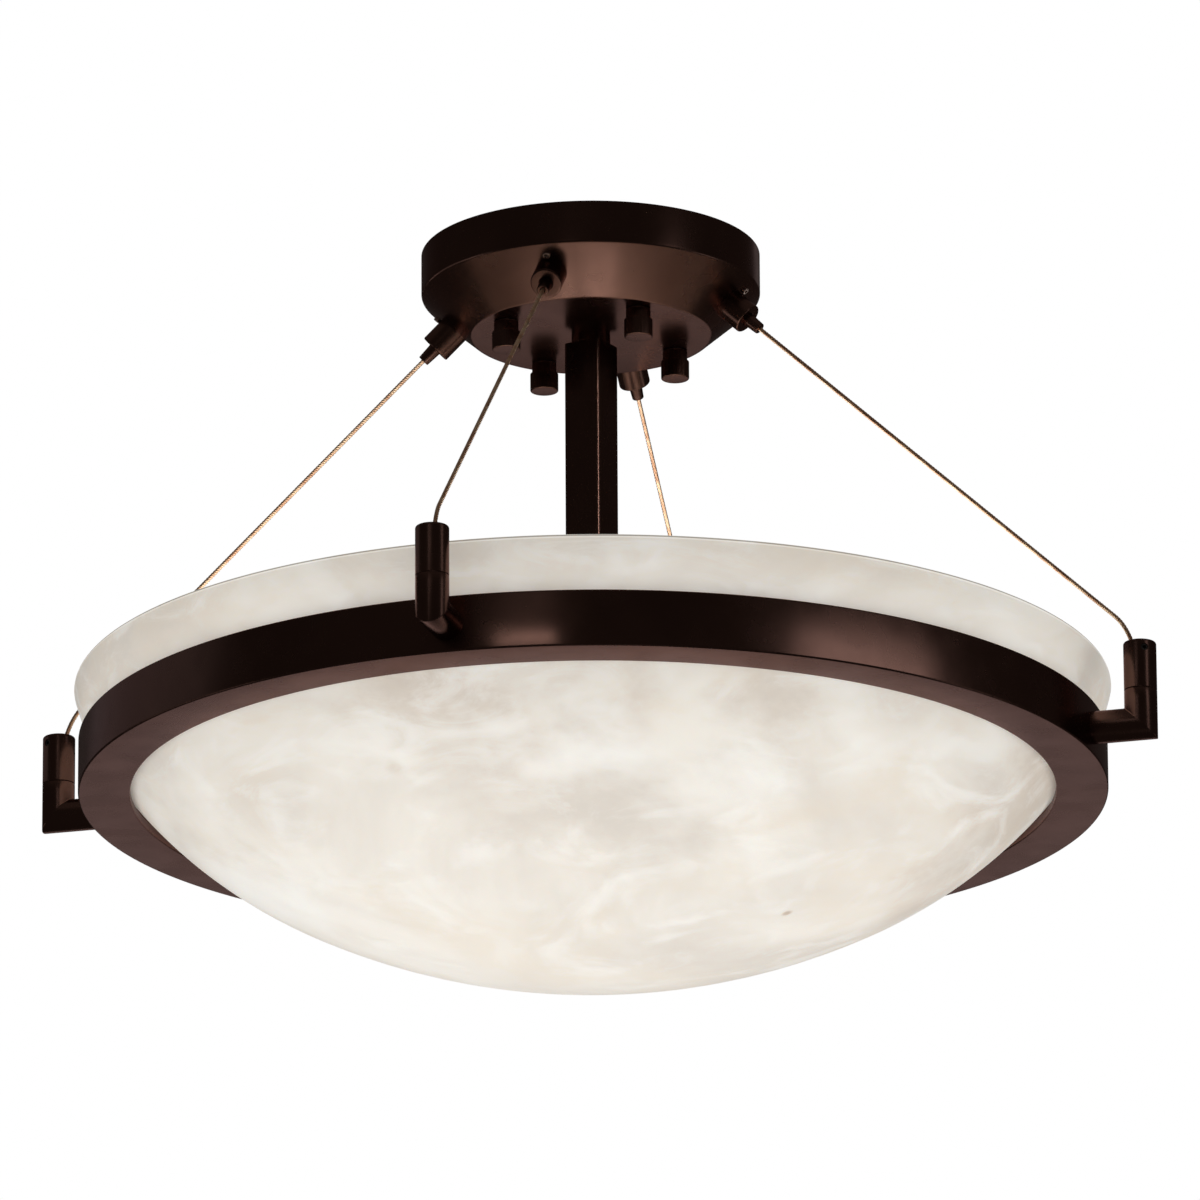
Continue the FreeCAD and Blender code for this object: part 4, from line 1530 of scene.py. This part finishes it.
# ------------------------------------------------------------------------------------ studio


WARM_WHITE: Colour = (1.0, 0.985, 0.96)
COOL_WHITE: Colour = (0.97, 0.98, 1.0)
GREY_BLUE: Colour = (0.86, 0.93, 1.0)


@dataclass(frozen=True)
class Softbox:
    """One soft light, placed by its direction from its target and aimed at it.

    Angles are in degrees, sizes in metres and power in watts; only names the pieces it lights.
    """

    name: str
    azimuth: float
    elevation: float
    distance: float
    width: float
    height: float
    power: float
    only: tuple[str, ...] = ()
    colour: Colour = WARM_WHITE

    def build(self, target: Vector, turn: float) -> None:
        """Builds the light.

        Args:
            target: What it is aimed at.
            turn: Degrees that are added to its azimuth.
        """
        lamp = bpy.data.lights.new(self.name, "AREA")
        lamp.shape = "RECTANGLE"
        lamp.size = self.width
        lamp.size_y = self.height
        lamp.energy = self.power
        lamp.color = self.colour
        holder = bpy.data.objects.new(self.name, lamp)
        a, e = math.radians(self.azimuth + turn), math.radians(self.elevation)
        flat = math.cos(e)
        way = Vector((math.sin(a) * flat, -math.cos(a) * flat, math.sin(e)))
        holder.location = target + way * self.distance
        holder.rotation_mode = "QUATERNION"
        holder.rotation_quaternion = way.to_track_quat("Z", "Y")
        holder.visible_camera = False
        bpy.context.scene.collection.objects.link(holder)
        if self.only:
            lit = bpy.data.collections.new(f"{self.name}_pieces")
            for piece in bpy.context.scene.objects:
                if piece.name.startswith(self.only):
                    lit.objects.link(piece)
            holder.light_linking.receiver_collection = lit


@dataclass
class Studio:
    """The floor, the soft lights, the pale surroundings and the photograph's camera."""

    floor_z: float = -9.5
    floor_side: float = 60.0
    camera_place: Triple = (1.3597, -4.8116, -1.732)
    camera_turn: float = 15.74
    camera_pitch: float = 17.43
    camera_roll: float = -0.30
    lens: float = 352.3
    reflected: Colour = (0.049, 0.044, 0.040)
    from_below: float = 0.84
    from_above: float = 0.20
    overhead: float = 2.2
    overhead_edge: Point = (0.48, 0.64)
    floor_faces: int = 8

    def floor(self) -> None:
        """Makes the floor, far enough below for every view of the light."""
        mesh = bmesh.new()
        count = self.floor_faces
        bmesh.ops.create_grid(mesh, x_segments=count, y_segments=count, size=self.floor_side / 2)
        floor = finished_object("floor", mesh)
        floor.location = (0.0, 0.0, self.floor_z)
        floor.data.materials.append(FloorPaper().material())
        floor.visible_glossy = False
        floor.visible_diffuse = False

    def surroundings(self) -> None:
        """Makes the backdrop white, the room's soft light pale and its reflections dim."""
        world = bpy.data.worlds.new("studio")
        world.use_nodes = True
        bench = NodeBench(world.node_tree)
        path = bench.add("ShaderNodeLightPath").outputs
        split = bench.add("ShaderNodeSeparateXYZ")
        bench.join(bench.add("ShaderNodeTexCoord").outputs["Generated"], split.inputs["Vector"])
        height = split.outputs["Z"]
        fading = bench.spread(height, (-1.0, 1.0), (self.from_below, self.from_above), "LINEAR")
        rising = bench.spread(height, self.overhead_edge, (1.0, self.overhead), "LINEAR")
        room = self.backdrop(bench, WARM_WHITE, fading)
        dim = self.backdrop(bench, self.reflected, rising)
        white = self.backdrop(bench, (1.0, 1.0, 1.0))
        unseen = self.either(bench, path["Is Diffuse Ray"], dim, room)
        whole = self.either(bench, path["Is Camera Ray"], unseen, white)
        nodes = world.node_tree.nodes
        bench.join(whole, nodes["World Output"].inputs["Surface"])
        nodes.remove(nodes["Background"])
        bpy.context.scene.world = world

    def backdrop(
        self, bench: NodeBench, colour: Colour, strength: bpy.types.NodeSocket | None = None
    ) -> bpy.types.NodeSocket:
        """Adds one plain surrounding.

        Args:
            bench: The world's nodes.
            colour: Its colour.
            strength: Its strength, or 1 without it.

        Returns:
            The surrounding.
        """
        node = bench.add("ShaderNodeBackground")
        node.inputs["Color"].default_value = (*colour, 1.0)
        if strength:
            bench.join(strength, node.inputs["Strength"])
        return node.outputs["Background"]

    def either(
        self,
        bench: NodeBench,
        test: bpy.types.NodeSocket,
        first: bpy.types.NodeSocket,
        second: bpy.types.NodeSocket,
    ) -> bpy.types.NodeSocket:
        """Chooses between two surroundings.

        Args:
            bench: The world's nodes.
            test: 0 for the first and 1 for the second.
            first: A surrounding.
            second: A surrounding.

        Returns:
            The chosen one.
        """
        node = bench.add("ShaderNodeMixShader")
        for out, into in zip((test, first, second), node.inputs):
            bench.join(out, into)
        return node.outputs["Shader"]

    def lights(self) -> None:
        """Places the soft lights; azimuths are counted from the camera's side, to its right."""
        ring = Vector((0.0, 0.0, -0.235))
        under_canopy = Vector((0.0, 0.0, -0.03))
        front_shoulder = Vector((0.010, -0.066, -0.030))
        small = ("canopy", "gripper", "plunger", "cap", "elbow", "thumb", "post", "shoulder")
        band, caps = ("ring_band",), ("cap", "elbow")
        for box in (
            Softbox("behind_low", 175.0, -20.5, 1.6, 1.3, 0.62, 1.22),
            Softbox("front_left", -13.0, 17.4, 1.2, 0.20, 0.14, 0.030),
            Softbox("ring_glow", -8.5, -0.8, 0.276, 0.036, 0.006, 0.0019, band),
            Softbox("ring_right", 50.5, 5.0, 0.55, 0.27, 0.10, 0.155, band, COOL_WHITE),
            Softbox("front_right", 54.0, 17.0, 0.9, 0.16, 0.30, 0.12, small, COOL_WHITE),
            Softbox("post_line", 24.0, 16.0, 1.2, 0.14, 0.50, 3.3, ("post_square",)),
            Softbox("left", -107.0, -12.0, 3.0, 0.9, 0.9, 0.8),
            Softbox("cap_line", -21.0, 17.0, 1.2, 0.07, 0.30, 0.05, caps, COOL_WHITE),
            Softbox("side_right", 88.0, -20.0, 2.2, 0.8, 0.5, 0.9),
            Softbox("side_left", -88.0, -20.0, 2.2, 0.7, 0.4, 0.8),
            Softbox("shoulder_left", -125.0, 2.0, 0.9, 0.25, 0.10, 0.08, ("canopy",)),
            Softbox("ring_left", -114.0, 17.0, 1.3, 1.30, 0.40, 0.31, band + ("cap",), GREY_BLUE),
            Softbox("behind_right", 153.0, 28.0, 1.7, 0.35, 0.35, 0.07, ("canopy",)),
            Softbox("screw_shine", 148.0, -18.0, 1.2, 0.4, 0.4, 0.35, ("shoulder_screw",)),
            Softbox("below_front", 4.0, -62.0, 3.0, 0.9, 0.9, 0.6),
        ):
            box.build(ring, self.camera_turn)
        in_the_bowl = Softbox("in_the_bowl", 0.0, -84.0, 0.19, 0.11, 0.06, 0.025)
        in_the_bowl.build(front_shoulder, self.camera_turn)
        rope_shine = Softbox("rope_shine", 0.0, -89.9, 0.18, 0.34, 0.34, 0.55, ("wire_rope",))
        rope_shine.build(under_canopy, 0.0)

    def camera(self) -> None:
        """Stands the camera where the photograph was taken."""
        lens = bpy.data.cameras.new("camera")
        lens.lens = self.lens
        lens.sensor_width = 36.0
        lens.clip_end = 100.0
        holder = bpy.data.objects.new("camera", lens)
        turn = Matrix.Rotation(math.radians(self.camera_turn), 4, "Z")
        pitch = Matrix.Rotation(math.radians(90.0 + self.camera_pitch), 4, "X")
        roll = Matrix.Rotation(math.radians(self.camera_roll), 4, "Z")
        holder.matrix_world = Matrix.Translation(self.camera_place) @ turn @ pitch @ roll
        bpy.context.scene.collection.objects.link(holder)
        bpy.context.scene.camera = holder

    def build(self) -> None:
        """Builds the studio and chooses plain colours for the picture."""
        self.floor()
        self.surroundings()
        self.lights()
        self.camera()
        bpy.context.scene.view_settings.view_transform = "Standard"


def main() -> None:
    """Builds the light's pieces in order, then the studio, and logs each piece."""
    logging.basicConfig(level=logging.INFO, format="%(name)s %(message)s")
    finishes = Finishes()
    for assembly in (Cables(), Canopy(), Grippers(), Corners(), Ring(), Bowl(), Post(), Fittings()):
        log.info("%s", type(assembly).__name__)
        assembly.build(finishes)
    Studio().build()


if __name__ == "__main__":
    main()
